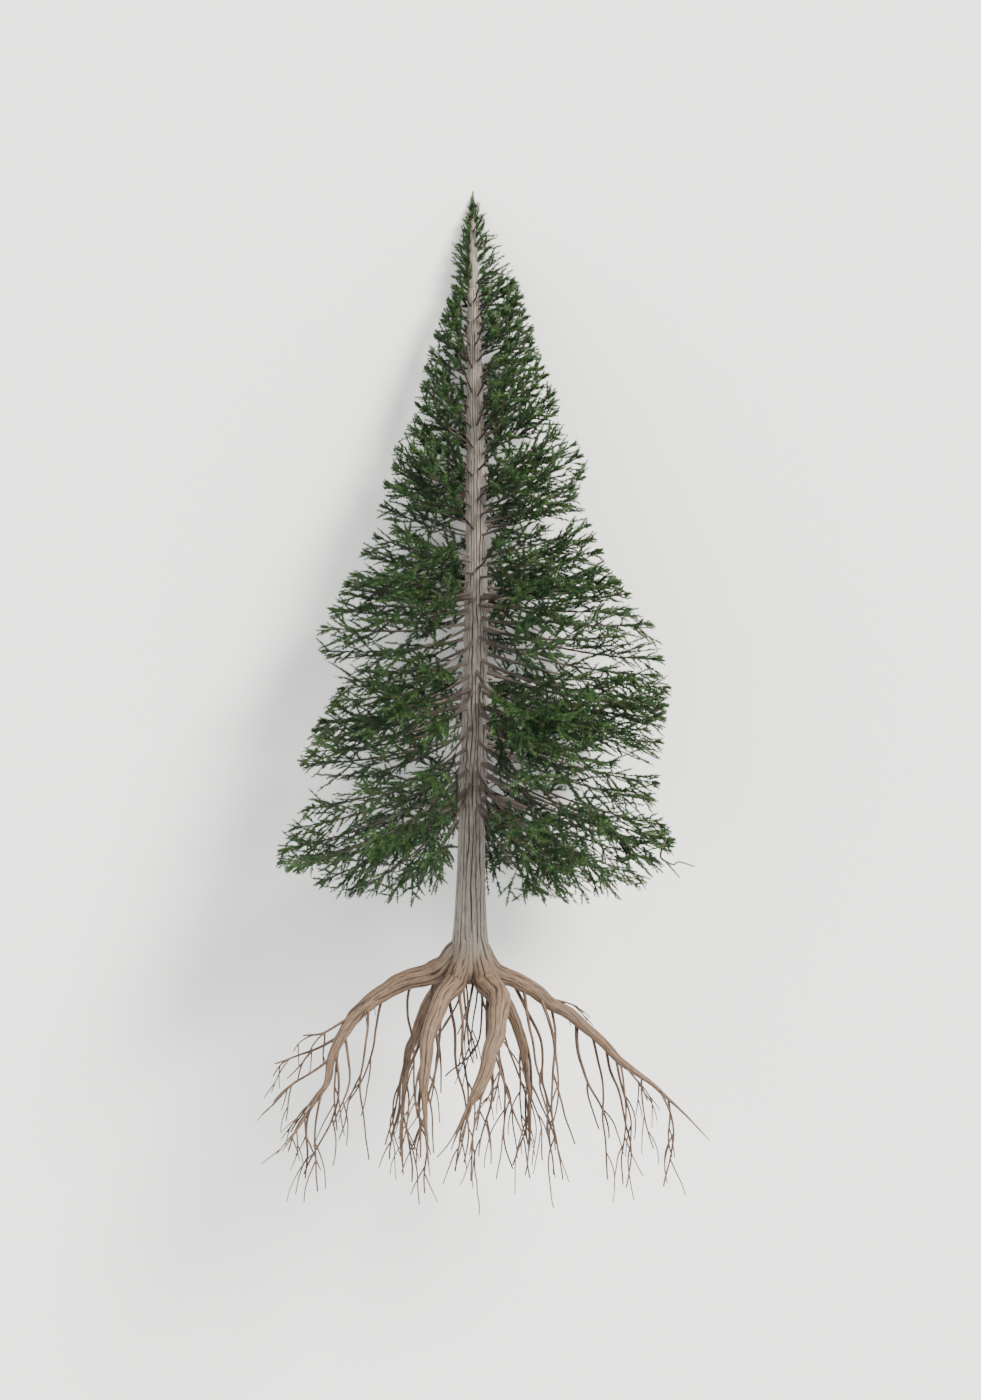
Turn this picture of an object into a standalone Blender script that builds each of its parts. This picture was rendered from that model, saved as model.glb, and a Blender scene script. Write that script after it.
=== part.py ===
"""A fir tree with its whole bare root system, laid down on its back.

The tree is worked out standing, with its root crown at the origin, z up the trunk, x to the
right and y to the back. At the end it is laid down, so that the back of the crown meets the
floor and its tip points along +Y. Sizes are in metres.
"""

import math
import random
from collections import namedtuple

import bmesh
import bpy
from mathutils import Matrix, Vector

UP = Vector((0, 0, 1))
BACK = Vector((0, 1, 0))

# Clearance between touching pieces
GAP = 0.0003

# Trunk
TREE_HEIGHT = 7.78
TRUNK_TOP = 6.80
TRUNK_RADIUS = 0.145
TRUNK_TAPER = 0.5
TRUNK_LEAN = 0.03
TRUNK_BEND = 0.045
TRUNK_SIDES = 12
FLARE = 0.08
FLARE_HEIGHT = 0.4
FOOT_DEPTH = 0.27
TRUNK_RINGS = (-0.24, -0.15, 0.0, 0.15, 0.35, 0.7, 1.2, 2.0, 3.0, 4.0, 5.0, 6.0, TRUNK_TOP)

# How the tree lies: its trunk's angle to the level, with the tip on the floor
LYING_PITCH = math.radians(14.8)
FLOOR_SIDE = Vector((0.0, math.cos(LYING_PITCH), math.sin(LYING_PITCH)))
FLOOR_DISTANCE = TREE_HEIGHT * math.sin(LYING_PITCH)
FLOOR_CLEARANCE = 0.012
SUPPORT_TIP_HEIGHT = 1.14
SUPPORT_AZIMUTHS = (60, 120)

# Crown outline: height, then how far the foliage reaches to the left and to the right
CROWN_OUTLINE = (
    (0.65, 1.30, 1.60),
    (1.00, 1.96, 2.02),
    (1.30, 1.95, 2.07),
    (1.70, 1.68, 1.88),
    (2.10, 1.80, 1.90),
    (2.80, 1.40, 1.98),
    (3.33, 1.66, 1.88),
    (4.08, 1.20, 1.32),
    (4.65, 0.99, 1.10),
    (5.12, 0.88, 1.15),
    (5.45, 0.68, 0.95),
    (6.18, 0.48, 0.69),
    (6.78, 0.25, 0.51),
    (7.25, 0.22, 0.30),
    (7.60, 0.09, 0.13),
    (TREE_HEIGHT, 0.01, 0.01),
)

# Tiers of the crown: the heights where a bough leaves the trunk and where it ends, the height
# at the trunk and the outward slope of the plane above it, how far the sectors shift that plane
# up and down in turn, the sectors (the bough's azimuth and the two edges), the bough's share of
# the way, and the length and number of its sprays
Tier = namedtuple("Tier", "name foot tip ceiling slope stagger sectors bough_share spray sprays")
SIX_WAYS = tuple((azimuth, azimuth - 30, azimuth + 30) for azimuth in range(0, 360, 60))
THREE_WAYS = ((345, 270, 390), (90, 30, 150), (195, 150, 270))
TIERS = (
    Tier("low", 1.72, SUPPORT_TIP_HEIGHT, 2.36, -0.22, 0.16, SIX_WAYS, 0.24, 0.80, 11),
    Tier("middle", 2.72, 2.55, 3.36, -0.16, 0.16, SIX_WAYS, 0.24, 0.78, 11),
    Tier("high", 3.70, 3.85, 4.22, 0.24, 0.0, SIX_WAYS, 0.25, 0.66, 10),
    Tier("upper", 4.46, 4.95, 4.94, 0.38, 0.10, THREE_WAYS, 0.0, 0.60, 12),
    Tier("slender", 5.18, 5.70, 5.74, 0.45, 0.08, THREE_WAYS, 0.0, 0.54, 12),
    Tier("crest", 5.90, 6.52, 6.78, 0.15, 0.0, THREE_WAYS, 0.0, 0.34, 12),
)

# Where the sprays of a mass reach for, as shares of its height, its spread and the crown's reach
SPRAY_PLACES = (
    (0.93, -0.24, 1.00),
    (0.90, 0.28, 1.00),
    (0.50, -0.38, 1.00),
    (0.50, 0.38, 1.00),
    (0.10, -0.30, 1.00),
    (0.07, 0.24, 1.00),
    (0.95, 0.04, 0.74),
    (0.05, -0.04, 0.74),
    (0.90, -0.18, 0.46),
    (0.10, 0.20, 0.46),
    (0.60, 0.30, 0.52),
    (0.95, 0.20, 0.60),
)
TIP_INSET = 0.01
EDGE_PULL = 0.8
LEVEL_TRIES = 3

# Clearances round a mass: from the planes between tiers and between sectors, from the strip of
# trunk that shows in front, from the bark, and from its own bough
CROWN_FLOOR = 0.68
TIER_GAP = 0.02
TIER_CHANGE_GAP = 0.04
SECTOR_GAP = 0.02
STRIP_SIDE = 0.015
BARK_CLEARANCE = 0.03
MASS_CLEARANCE = 0.004
AZIMUTH_PLAY = 6.0

# Boughs, and the wood inside the foliage
BOUGH_RADIUS = 0.038
BOUGH_TAPER = 0.75
BOUGH_SIDES = 6
BOUGH_RINGS = 4
PATH_STEPS = 13
BOUGH_SAG = 0.04
STEM_RINGS = 4
STEM_SHARE = 0.7
STEM_TIP_RADIUS = 0.020
STEM_SPAN = (0.05, 0.92)
TWIG_RADIUS = 0.010
BARE_TWIG_SHARE = 0.16
BRANCHING = 0.8

# Leading shoot: its first radius, its end spray, and the ways of its side shoots from the lowest
# up, with the heights above the trunk's top of the first and the last one's tip
LEADER_STEM_RADIUS = 0.042
LEADER_END_SPRAY = 0.30
LEADER_SPRAY = 0.34
LEADER_SHOOTS = (0, 180, 300, 240, 20, 160, 340, 200, 0, 180, 320, 220)
LEADER_SHOOT_HEIGHTS = (0.10, 0.70)
LEADER_SHOOT_RISE = 0.20

# Bare dead twigs that hang from the lowest bough on the right
DEAD_TWIG_SIDE = 0
DEAD_TWIG_RADIUS = 0.009
DEAD_TWIG_BENDS = ((0.02, -0.24), (0.16, -0.30), (0.28, -0.27))

# Sprays of needles: half of the toothed edge, along and across, as shares of length and width
SPRAY_EDGE = ((0.34, 0.50), (0.47, 0.26), (0.72, 0.38))
SPRAY_MIDDLE = 0.42
SPRAY_WIDTH = 0.58
SPRAY_THICKNESS = 0.035
SPRAY_ROLLS = (0.3, 1.2)

# How a spray gives way where it doesn't fit: smaller, nearer and a little aside at each try
SPRAY_TRIES = 16
SPRAY_YIELD = 0.03
SPRAY_RETREAT = 0.96
SPRAY_SHAKE = 0.08

# The spray at a stem's end: its share of the length, how far the stem runs on under it, and how
# far it may be rolled
END_SPRAY_SHARE = 0.9
END_SPRAY_OVERLAP = 0.95
END_SPRAY_ROLL = 0.8
END_TWIG_RADIUS = 0.006

# Roots: the way they leave the trunk and turn, how far and deep they run, how soon they bend
# down, and their first and last radius
Root = namedtuple("Root", "name azimuth turn start reach depth bend fall thick thin")
ROOTS = (
    Root("left", 180, 0, 0.00, 1.33, 1.10, 1.8, 1.6, 0.118, 0.034),
    Root("front_left", 238, 0, -0.06, 0.78, 1.02, 1.8, 1.6, 0.095, 0.040),
    Root("front_right", 318, -43, -0.07, 0.78, 1.08, 1.8, 1.6, 0.095, 0.042),
    Root("right", 8, -4, 0.01, 1.44, 0.95, 1.1, 1.35, 0.090, 0.036),
    Root("back_right", 66, -12, -0.02, 0.86, 0.95, 1.7, 1.5, 0.100, 0.036),
    Root("back_left", 124, 10, -0.03, 0.84, 1.00, 1.7, 1.5, 0.100, 0.036),
)
ROOT_START = 0.08
ROOT_SIDES = 8
ROOT_RINGS = 9
ROOT_TAPER = 0.9
ROOT_WANDER = 0.010

# Rootlets beyond each root: how far their stem runs out and down, and how wide they spread
Rootlets = namedtuple("Rootlets", "out down spread")
ROOTLETS = {
    "left": Rootlets(0.42, 1.05, 0.60),
    "front_left": Rootlets(-0.10, 1.30, 0.45),
    "front_right": Rootlets(-0.10, 1.15, 0.45),
    "right": Rootlets(0.72, 0.70, 0.60),
    "back_right": Rootlets(0.10, 1.25, 0.50),
    "back_left": Rootlets(0.05, 1.20, 0.50),
}
ROOT_BOTTOM = -2.38
ROOTLET_STEM_SHARE = 0.9
ROOTLET_STEM_TIP = 0.005
ROOTLET_STEM_RINGS = 5
ROOTLET_BRANCHES = 5
ROOTLET_SPAN = (0.12, 0.82)
ROOTLET_RADIUS = 0.012
ROOTLET_TAPER = 0.4
ROOTLET_STEPS = 3
ROOTLET_SWAY = 0.28
ROOTLET_FALL = 0.18
ROOTLET_TRIES = 8
ROOTLET_RUNS = (0.7, 1.5)
FORK_SHARE = 0.4
FORK_SIZE = 0.6
FORK_TURN = 0.8

# Azimuth from one side shoot of a stem to the next, and how far it may be off
GOLDEN_ANGLE = 137.5
GOLDEN_PLAY = 25

# Colours and roughness
BARK = ("bark", (0.21, 0.16, 0.12), 0.9)
ROOT_SKIN = ("root_skin", (0.27, 0.17, 0.10), 0.85)
NEEDLES = ("needles", (0.05, 0.13, 0.05), 0.6)


def clear_scene():
    """Removes every object of the scene that is open."""
    for ob in list(bpy.data.objects):
        bpy.data.objects.remove(ob, do_unlink=True)


def dress(ob, finish):
    """Gives a node a plain material of its own."""
    kind, colour, roughness = finish
    made = bpy.data.materials.new(f"{ob.name}_{kind}")
    made.use_nodes = True
    shader = made.node_tree.nodes["Principled BSDF"]
    shader.inputs["Base Color"].default_value = (*colour, 1.0)
    shader.inputs["Roughness"].default_value = roughness
    shader.inputs["Metallic"].default_value = 0.0
    ob.data.materials.clear()
    ob.data.materials.append(made)
    return ob


def add_object(name, solid):
    """An object from a list of points and a list of faces."""
    points, faces = solid
    mesh = bpy.data.meshes.new(name)
    mesh.from_pydata([tuple(p) for p in points], [], faces)
    ob = bpy.data.objects.new(name, mesh)
    bpy.context.scene.collection.objects.link(ob)
    return ob


def apply_modifiers(ob):
    """Turns an object's evaluated shape into its plain mesh."""
    depsgraph = bpy.context.evaluated_depsgraph_get()
    mesh = bpy.data.meshes.new_from_object(ob.evaluated_get(depsgraph))
    ob.modifiers.clear()
    ob.data = mesh


def keep_one_body(ob):
    """Drops loose scraps and the walls of sealed hollows, so that one closed body is left."""
    bm = bmesh.new()
    bm.from_mesh(ob.data)
    left = set(bm.verts)
    islands = []
    while left:
        front = [left.pop()]
        island = set(front)
        while front:
            for edge in front.pop().link_edges:
                for vert in edge.verts:
                    if vert in left:
                        left.discard(vert)
                        island.add(vert)
                        front.append(vert)
        islands.append(island)
    largest = max(islands, key=len)
    scraps = [vert for island in islands if island is not largest for vert in island]
    bmesh.ops.delete(bm, geom=scraps, context="VERTS")
    bm.to_mesh(ob.data)
    bm.free()


def fuse(name, solids):
    """Joins closed solids into one body by one union."""
    ob = add_object(name, solids[0])
    others = bpy.data.collections.new(name + "_pieces")
    bpy.context.scene.collection.children.link(others)
    for solid in solids[1:]:
        piece = add_object(name + "_piece", solid)
        bpy.context.scene.collection.objects.unlink(piece)
        others.objects.link(piece)
    join = ob.modifiers.new("join", "BOOLEAN")
    join.operation = "UNION"
    join.solver = "EXACT"
    join.operand_type = "COLLECTION"
    join.collection = others
    apply_modifiers(ob)
    for piece in list(others.objects):
        bpy.data.objects.remove(piece, do_unlink=True)
    bpy.data.collections.remove(others)
    keep_one_body(ob)
    return ob


def cut(ob, solid):
    """Takes a solid away from an object."""
    cutter = add_object("cutter", solid)
    trim = ob.modifiers.new("trim", "BOOLEAN")
    trim.operation = "DIFFERENCE"
    trim.solver = "EXACT"
    trim.object = cutter
    apply_modifiers(ob)
    bpy.data.objects.remove(cutter, do_unlink=True)
    keep_one_body(ob)


def outward(azimuth):
    """The level direction of an azimuth in degrees."""
    angle = math.radians(azimuth)
    return Vector((math.cos(angle), math.sin(angle), 0.0))


def tube(path, radii, sides, roll=0.0, first=None, last=None, pointed=False):
    """A closed tapering limb round a path. Its ends are flat, or the last one is a point."""
    points = []
    rings = len(path) - 1 if pointed else len(path)
    side = None
    for i in range(rings):
        ahead = path[min(i + 1, len(path) - 1)] - path[max(i - 1, 0)]
        if i == 0 and first:
            ahead = first
        if i == len(path) - 1 and last:
            ahead = last
        ahead = ahead.normalized()
        if side is None:
            start = UP if abs(ahead.z) < 0.9 else BACK
            side = Matrix.Rotation(roll, 3, ahead) @ start
        side = (side - ahead * side.dot(ahead)).normalized()
        other = ahead.cross(side)
        for k in range(sides):
            angle = math.tau * k / sides
            spoke = math.cos(angle) * side + math.sin(angle) * other
            points.append(path[i] + radii[i] * spoke)
    faces = [tuple(reversed(range(sides)))]
    for i in range(rings - 1):
        for k in range(sides):
            a, b = i * sides + k, i * sides + (k + 1) % sides
            faces.append((a, b, b + sides, a + sides))
    end = (rings - 1) * sides
    if pointed:
        points.append(path[-1])
        tip = len(points) - 1
        faces += [(end + k, end + (k + 1) % sides, tip) for k in range(sides)]
    else:
        faces.append(tuple(range(end, end + sides)))
    return points, faces


def tapered(first, last, count, power=1.0):
    """Radii from first to last in a number of rings."""
    return [first + (last - first) * (i / (count - 1)) ** power for i in range(count)]


def bent(start, end, sag, count):
    """Points of a limb from start to end, with its middle lowered by sag."""
    shares = [i / (count - 1) for i in range(count)]
    return [start.lerp(end, s) - UP * (4 * sag * s * (1 - s)) for s in shares]


def along(path, share):
    """The point and the direction at a share of a path."""
    place = share * (len(path) - 1)
    i = min(int(place), len(path) - 2)
    return path[i].lerp(path[i + 1], place - i), (path[i + 1] - path[i]).normalized()


def spray(foot, tip, length, across, radius):
    """A three-sided twig that widens into a flat toothed spray of needles with a ridge on it."""
    ahead = (tip - foot).normalized()
    normal = ahead.cross(across).normalized()
    across = normal.cross(ahead)
    root = tip - ahead * length
    width = length * SPRAY_WIDTH
    ridge = normal * (radius * 1.5)
    left = [foot + across * radius, root + across * radius]
    right = [foot - across * radius, root - across * radius]
    for u, v in SPRAY_EDGE:
        left.append(root + ahead * (u * length) + across * (v * width))
        right.append(root + ahead * (u * length) - across * (v * width))
    middle = root + ahead * (SPRAY_MIDDLE * length) + normal * (SPRAY_THICKNESS * length)
    points = [*left, tip, *reversed(right), foot + ridge, root + ridge, middle]
    rim = len(points) - 3
    foot_top, neck_top, top = rim, rim + 1, rim + 2
    faces = [tuple(range(rim)), (0, rim - 1, foot_top)]
    faces += [(0, foot_top, neck_top, 1), (rim - 1, rim - 2, neck_top, foot_top)]
    faces += [(top, 1, neck_top), (top, neck_top, rim - 2)]
    faces += [(top, k + 1, k) for k in range(1, rim - 2)]
    return points, faces


def trunk_centre(z):
    """The trunk's centre at a height: a slight lean with one slow bend."""
    share = min(max(z / TREE_HEIGHT, 0.0), 1.0)
    shift = TRUNK_LEAN * share + TRUNK_BEND * math.sin(math.pi * share) ** 2
    return Vector((shift, 0.0, z))


def trunk_radius(z):
    """The trunk's radius at a height: its taper, the root flare and the rounded foot."""
    up = max(z, 0.0)
    radius = TRUNK_RADIUS * (1 - up / TREE_HEIGHT) ** TRUNK_TAPER
    radius += FLARE * math.exp(-up / FLARE_HEIGHT)
    if z < 0:
        radius *= math.sqrt(1 - (z / FOOT_DEPTH) ** 2)
    return radius


def trunk_solid(grow=0.0):
    """The whole trunk, or a copy that stands out by grow on every side."""
    wider = grow / math.cos(math.pi / TRUNK_SIDES)
    path = [trunk_centre(z) for z in TRUNK_RINGS]
    path[0].z -= grow
    path[-1].z += grow
    radii = [trunk_radius(z) + wider for z in TRUNK_RINGS]
    return tube(path, radii, TRUNK_SIDES, first=UP, last=UP)


def crown_reach(z, azimuth):
    """How far the foliage reaches from the trunk at a height, between its two side outlines."""
    z = min(max(z, CROWN_OUTLINE[0][0]), TREE_HEIGHT)
    pairs = zip(CROWN_OUTLINE, CROWN_OUTLINE[1:])
    low, high = next(pair for pair in pairs if z <= pair[1][0])
    share = (z - low[0]) / (high[0] - low[0])
    left = low[1] + share * (high[1] - low[1])
    right = low[2] + share * (high[2] - low[2])
    to_right = (1 + math.cos(math.radians(azimuth))) / 2
    return left + to_right * (right - left)


class Space:
    """The part of the crown or of the root system that one mass keeps to."""

    def __init__(self, outline=None):
        self.planes = []
        self.outline = outline

    def keep_behind(self, normal, distance):
        self.planes.append((normal, distance))

    def holds(self, points):
        behind = all(n.dot(p) <= distance for p in points for n, distance in self.planes)
        return behind and (self.outline is None or all(self.outline(p) for p in points))


def in_outline(point):
    """Whether a point lies inside the crown's outline."""
    out = point - trunk_centre(point.z)
    azimuth = math.degrees(math.atan2(out.y, out.x))
    return out.xy.length <= crown_reach(point.z, azimuth)


def wander(rng, size):
    """A small random shift, at most size along each axis."""
    return Vector([rng.uniform(-size, size) for _ in range(3)])


def grow_towards(target, foot, length, space, rng, above=UP):
    """A spray whose twig leaves from foot and whose tip is at the target, or nearer if need be."""
    for k in range(SPRAY_TRIES):
        run = target - foot
        size = min(length, run.length * (1 - BARE_TWIG_SHARE)) * (1 - k * SPRAY_YIELD)
        level = run.cross(above).normalized()
        roll = rng.uniform(*SPRAY_ROLLS) * rng.choice((-1, 1)) * (1 - k / SPRAY_TRIES)
        across = Matrix.Rotation(roll, 3, run.normalized()) @ level
        blade = spray(foot, target, size, across, TWIG_RADIUS)
        if space.holds(blade[0]):
            return [blade]
        target = foot + run * SPRAY_RETREAT + wander(rng, SPRAY_SHAKE) * length
    return []


def make_stem(path, radius, length, first, space, rng, above=UP):
    """The stem of a mass with the spray that ends it, and the stem's own path."""
    bare = 1 - END_SPRAY_OVERLAP * length / (path[-1] - path[0]).length
    points = [along(path, bare * i / (STEM_RINGS - 1))[0] for i in range(STEM_RINGS)]
    tip = path[-1]
    ahead = (tip - points[-1]).normalized()
    stem = tube(points, tapered(radius, STEM_TIP_RADIUS, STEM_RINGS), 3, rng.random(), first, ahead)
    level = ahead.cross(above).normalized()
    for k in range(SPRAY_TRIES):
        roll = rng.uniform(-END_SPRAY_ROLL, END_SPRAY_ROLL) * (1 - k / (SPRAY_TRIES - 1))
        across = Matrix.Rotation(roll, 3, ahead) @ level
        start = points[-1] - ahead * (2 * STEM_TIP_RADIUS)
        blade = spray(start, tip, length * END_SPRAY_SHARE, across, END_TWIG_RADIUS)
        if space.holds([p for p in blade[0] if p is not tip][1:]):
            break
    return [stem, blade], points


def tier_space(tier, sector, floor, ceiling):
    """The space of one mass: a sector of a tier, clear of the trunk, its strip and the floor."""
    azimuth, *edges = sector
    space = Space(in_outline)
    middle = outward(azimuth)
    centre = trunk_centre(tier.foot)
    for side, edge in zip((-1, 1), edges):
        normal = outward(edge + side * 90)
        inset = SECTOR_GAP / 2
        if edge % 360 == 270:
            inset = trunk_radius(tier.foot) + STRIP_SIDE
        space.keep_behind(normal, centre.dot(normal) - inset)
    for side, (height, slope) in ((-1, floor), (1, ceiling)):
        normal = (UP - slope * middle) * side
        at_trunk = Vector((centre.x, centre.y, height))
        space.keep_behind(normal, normal.dot(at_trunk) - TIER_GAP)
    space.keep_behind(-middle, -centre.dot(middle) - trunk_radius(tier.foot) - BARK_CLEARANCE)
    space.keep_behind(FLOOR_SIDE, FLOOR_DISTANCE - FLOOR_CLEARANCE)
    return space


def above_floor(point, way, supports=False):
    """The point drawn in along its way, clear of the floor, or put on the floor if it supports."""
    over = FLOOR_SIDE.dot(point) - FLOOR_DISTANCE
    if supports:
        return point - way * (over / FLOOR_SIDE.dot(way))
    over += 2 * FLOOR_CLEARANCE
    return point - way * (over / FLOOR_SIDE.dot(way)) if over > 0 else point


def dead_twigs(stem, way):
    """Two bare twigs that hang from a stem's end."""
    twigs = []
    for share, size in ((0.99, 1.0), (0.80, 0.7)):
        foot, _ = along(stem, share)
        path = [foot] + [foot + (way * out + UP * up) * size for out, up in DEAD_TWIG_BENDS]
        radii = tapered(DEAD_TWIG_RADIUS, DEAD_TWIG_RADIUS / 2, len(path))
        twigs.append(tube(path, radii, 3, 0.3, pointed=True))
    return twigs


def make_bough(name, whole, share):
    """A bough from the trunk to where its foliage begins. Gives its end and direction there."""
    ends = [share * i / (BOUGH_RINGS - 1) for i in range(BOUGH_RINGS)]
    path = [along(whole, s)[0] for s in ends]
    end, ahead = along(whole, share + 1e-6)
    radii = tapered(BOUGH_RADIUS, BOUGH_RADIUS * BOUGH_TAPER, BOUGH_RINGS)
    bough = add_object(name, tube(path, radii, BOUGH_SIDES, last=ahead))
    cut(bough, trunk_solid(GAP))
    dress(bough, BARK)
    return end, ahead


def spray_target(sector, floor, ceiling, place):
    """A place that a spray reaches for, on the crown's outline or a share of the way to it."""
    azimuth, first, last = sector
    height, side, share = place
    heading = azimuth + side * (last - first) + ((first + last) / 2 - azimuth) * EDGE_PULL
    level = (floor[0] + ceiling[0]) / 2
    for _ in range(LEVEL_TRIES):
        reach = crown_reach(level, heading) * share
        low = floor[0] + floor[1] * reach
        high = ceiling[0] + ceiling[1] * reach
        level = low + (high - low) * height
    target = trunk_centre(level) + outward(heading) * (reach - TIP_INSET)
    return above_floor(target, outward(heading))


def foot_on(stem, target):
    """The place on a stem from which a twig to the target leaves at an open angle."""
    first, last = stem[0], stem[-1]
    line = (last - first).normalized()
    along_stem = (target - first).dot(line)
    aside = (target - first - line * along_stem).length
    share = (along_stem - BRANCHING * aside) / (last - first).length
    return along(stem, min(max(share, STEM_SPAN[0]), STEM_SPAN[1]))[0]


def make_part(tier, number, sector, floor, ceiling):
    """One sector of a tier: its bough, if it has one, and its mass of foliage."""
    azimuth = sector[0]
    rng = random.Random(1000 * (number + 1) + azimuth)
    name = f"{tier.name}_{azimuth:03d}"
    supports = number == 0 and azimuth in SUPPORT_AZIMUTHS
    play = 0.0 if supports or not tier.bough_share else rng.uniform(-1, 1) * AZIMUTH_PLAY
    way = outward(azimuth + play)
    lift = (ceiling[0] - tier.ceiling) / 2
    height = tier.tip + lift
    tip = trunk_centre(height) + way * (crown_reach(height, azimuth + play) - TIP_INSET)
    tip = above_floor(tip, way, supports)
    foot = trunk_centre(tier.foot + lift)
    whole = bent(foot, tip, BOUGH_SAG * (tip - foot).length, PATH_STEPS)
    space = tier_space(tier, sector, floor, ceiling)
    if tier.bough_share:
        end, ahead = make_bough("bough_" + name, whole, tier.bough_share)
        space.keep_behind(-ahead, -ahead.dot(end) - MASS_CLEARANCE)
        rest = (1 - tier.bough_share) / (PATH_STEPS - 1)
        path = [along(whole, tier.bough_share + rest * i)[0] for i in range(PATH_STEPS)]
        path[0] = end + ahead * GAP
        solids, stem = make_stem(path, BOUGH_RADIUS * STEM_SHARE, tier.spray, ahead, space, rng)
    else:
        solids, stem = make_stem(whole, BOUGH_RADIUS * STEM_SHARE, tier.spray, None, space, rng)
    for place in SPRAY_PLACES[: tier.sprays]:
        target = spray_target(sector, floor, ceiling, place)
        solids += grow_towards(target, foot_on(stem, target), tier.spray, space, rng)
    if number == 0 and azimuth == DEAD_TWIG_SIDE:
        solids += dead_twigs(stem, way)
    mass = fuse("foliage_" + name, solids)
    if not tier.bough_share:
        cut(mass, trunk_solid(GAP))
    dress(mass, NEEDLES)


def make_crown():
    """Every bough and mass of foliage, tier by tier."""
    floors = [(CROWN_FLOOR, 0.0)] * len(SIX_WAYS)
    for number, tier in enumerate(TIERS):
        if len(tier.sectors) < len(floors):
            floors = [(TIERS[number - 1].ceiling + TIER_CHANGE_GAP, TIERS[number - 1].slope)] * 3
        for i, sector in enumerate(tier.sectors):
            shift = tier.stagger * (1, -1)[i % 2]
            ceiling = (tier.ceiling + shift, tier.slope)
            make_part(tier, number, sector, floors[i], ceiling)
            floors[i] = ceiling


def make_leader():
    """The leading shoot above the trunk, with small rising side shoots."""
    rng = random.Random(7)
    foot = trunk_centre(TRUNK_TOP) + UP * GAP
    tip = trunk_centre(TREE_HEIGHT)
    space = Space(in_outline)
    space.keep_behind(-UP, -TRUNK_TOP - MASS_CLEARANCE)
    space.keep_behind(FLOOR_SIDE, FLOOR_DISTANCE - FLOOR_CLEARANCE / 2)
    path = bent(foot, tip, 0.0, PATH_STEPS)
    solids, _ = make_stem(path, LEADER_STEM_RADIUS, LEADER_END_SPRAY, UP, space, rng, BACK)
    first, last = LEADER_SHOOT_HEIGHTS
    for k, azimuth in enumerate(LEADER_SHOOTS):
        height = TRUNK_TOP + first + (last - first) * k / (len(LEADER_SHOOTS) - 1)
        reach = crown_reach(height, azimuth) - TIP_INSET
        start = trunk_centre(max(height - LEADER_SHOOT_RISE, TRUNK_TOP + STEM_TIP_RADIUS))
        target = trunk_centre(height) + outward(azimuth) * reach
        solids += grow_towards(target, start, LEADER_SPRAY, space, rng, BACK)
    dress(fuse("foliage_leader", solids), NEEDLES)


def root_path(root):
    """Points of a root: it runs out, then bends down, and wanders a little."""
    rng = random.Random(root.name)
    path = []
    for i in range(ROOT_RINGS):
        t = i / (ROOT_RINGS - 1)
        out = ROOT_START + root.reach * (1 - (1 - t) ** root.bend)
        down = root.start - root.depth * t**root.fall
        point = outward(root.azimuth + root.turn * t) * out + UP * down
        path.append(point + wander(rng, ROOT_WANDER) if i > 1 else point)
    return path


def root_solid(root, grow=0.0):
    """A root's limb, or a copy that stands out by grow on every side."""
    wider = grow / math.cos(math.pi / ROOT_SIDES)
    radii = [r + wider for r in tapered(root.thick, root.thin, ROOT_RINGS, ROOT_TAPER)]
    return tube(root_path(root), radii, ROOT_SIDES)


def rootlet(start, way, run, radius, rng):
    """A thin twig of root that wanders as it runs down. Gives its solid and its path."""
    path = [start]
    for _ in range(ROOTLET_STEPS):
        way = (way + wander(rng, ROOTLET_SWAY) - UP * ROOTLET_FALL).normalized()
        path.append(path[-1] + way * (run / ROOTLET_STEPS))
    radii = tapered(radius, radius * ROOTLET_TAPER, len(path))
    return tube(path, radii, 3, rng.random(), pointed=True), path


def rootlet_stem(root):
    """The path of the stem that carries a root's rootlets: it runs on and curves down."""
    plan = ROOTLETS[root.name]
    path = root_path(root)
    ahead = (path[-1] - path[-2]).normalized()
    foot = path[-1] + ahead * GAP
    run = outward(root.azimuth + root.turn) * plan.out - UP * plan.down
    middle = foot + (ahead * plan.down + outward(root.azimuth + root.turn) * plan.out) * 0.3
    middle -= UP * (0.15 * plan.down)
    stem = []
    for i in range(ROOTLET_STEM_RINGS):
        s = i / (ROOTLET_STEM_RINGS - 1)
        stem.append(foot * (1 - s) ** 2 + middle * (2 * s * (1 - s)) + (foot + run) * s**2)
    return stem, ahead


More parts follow.
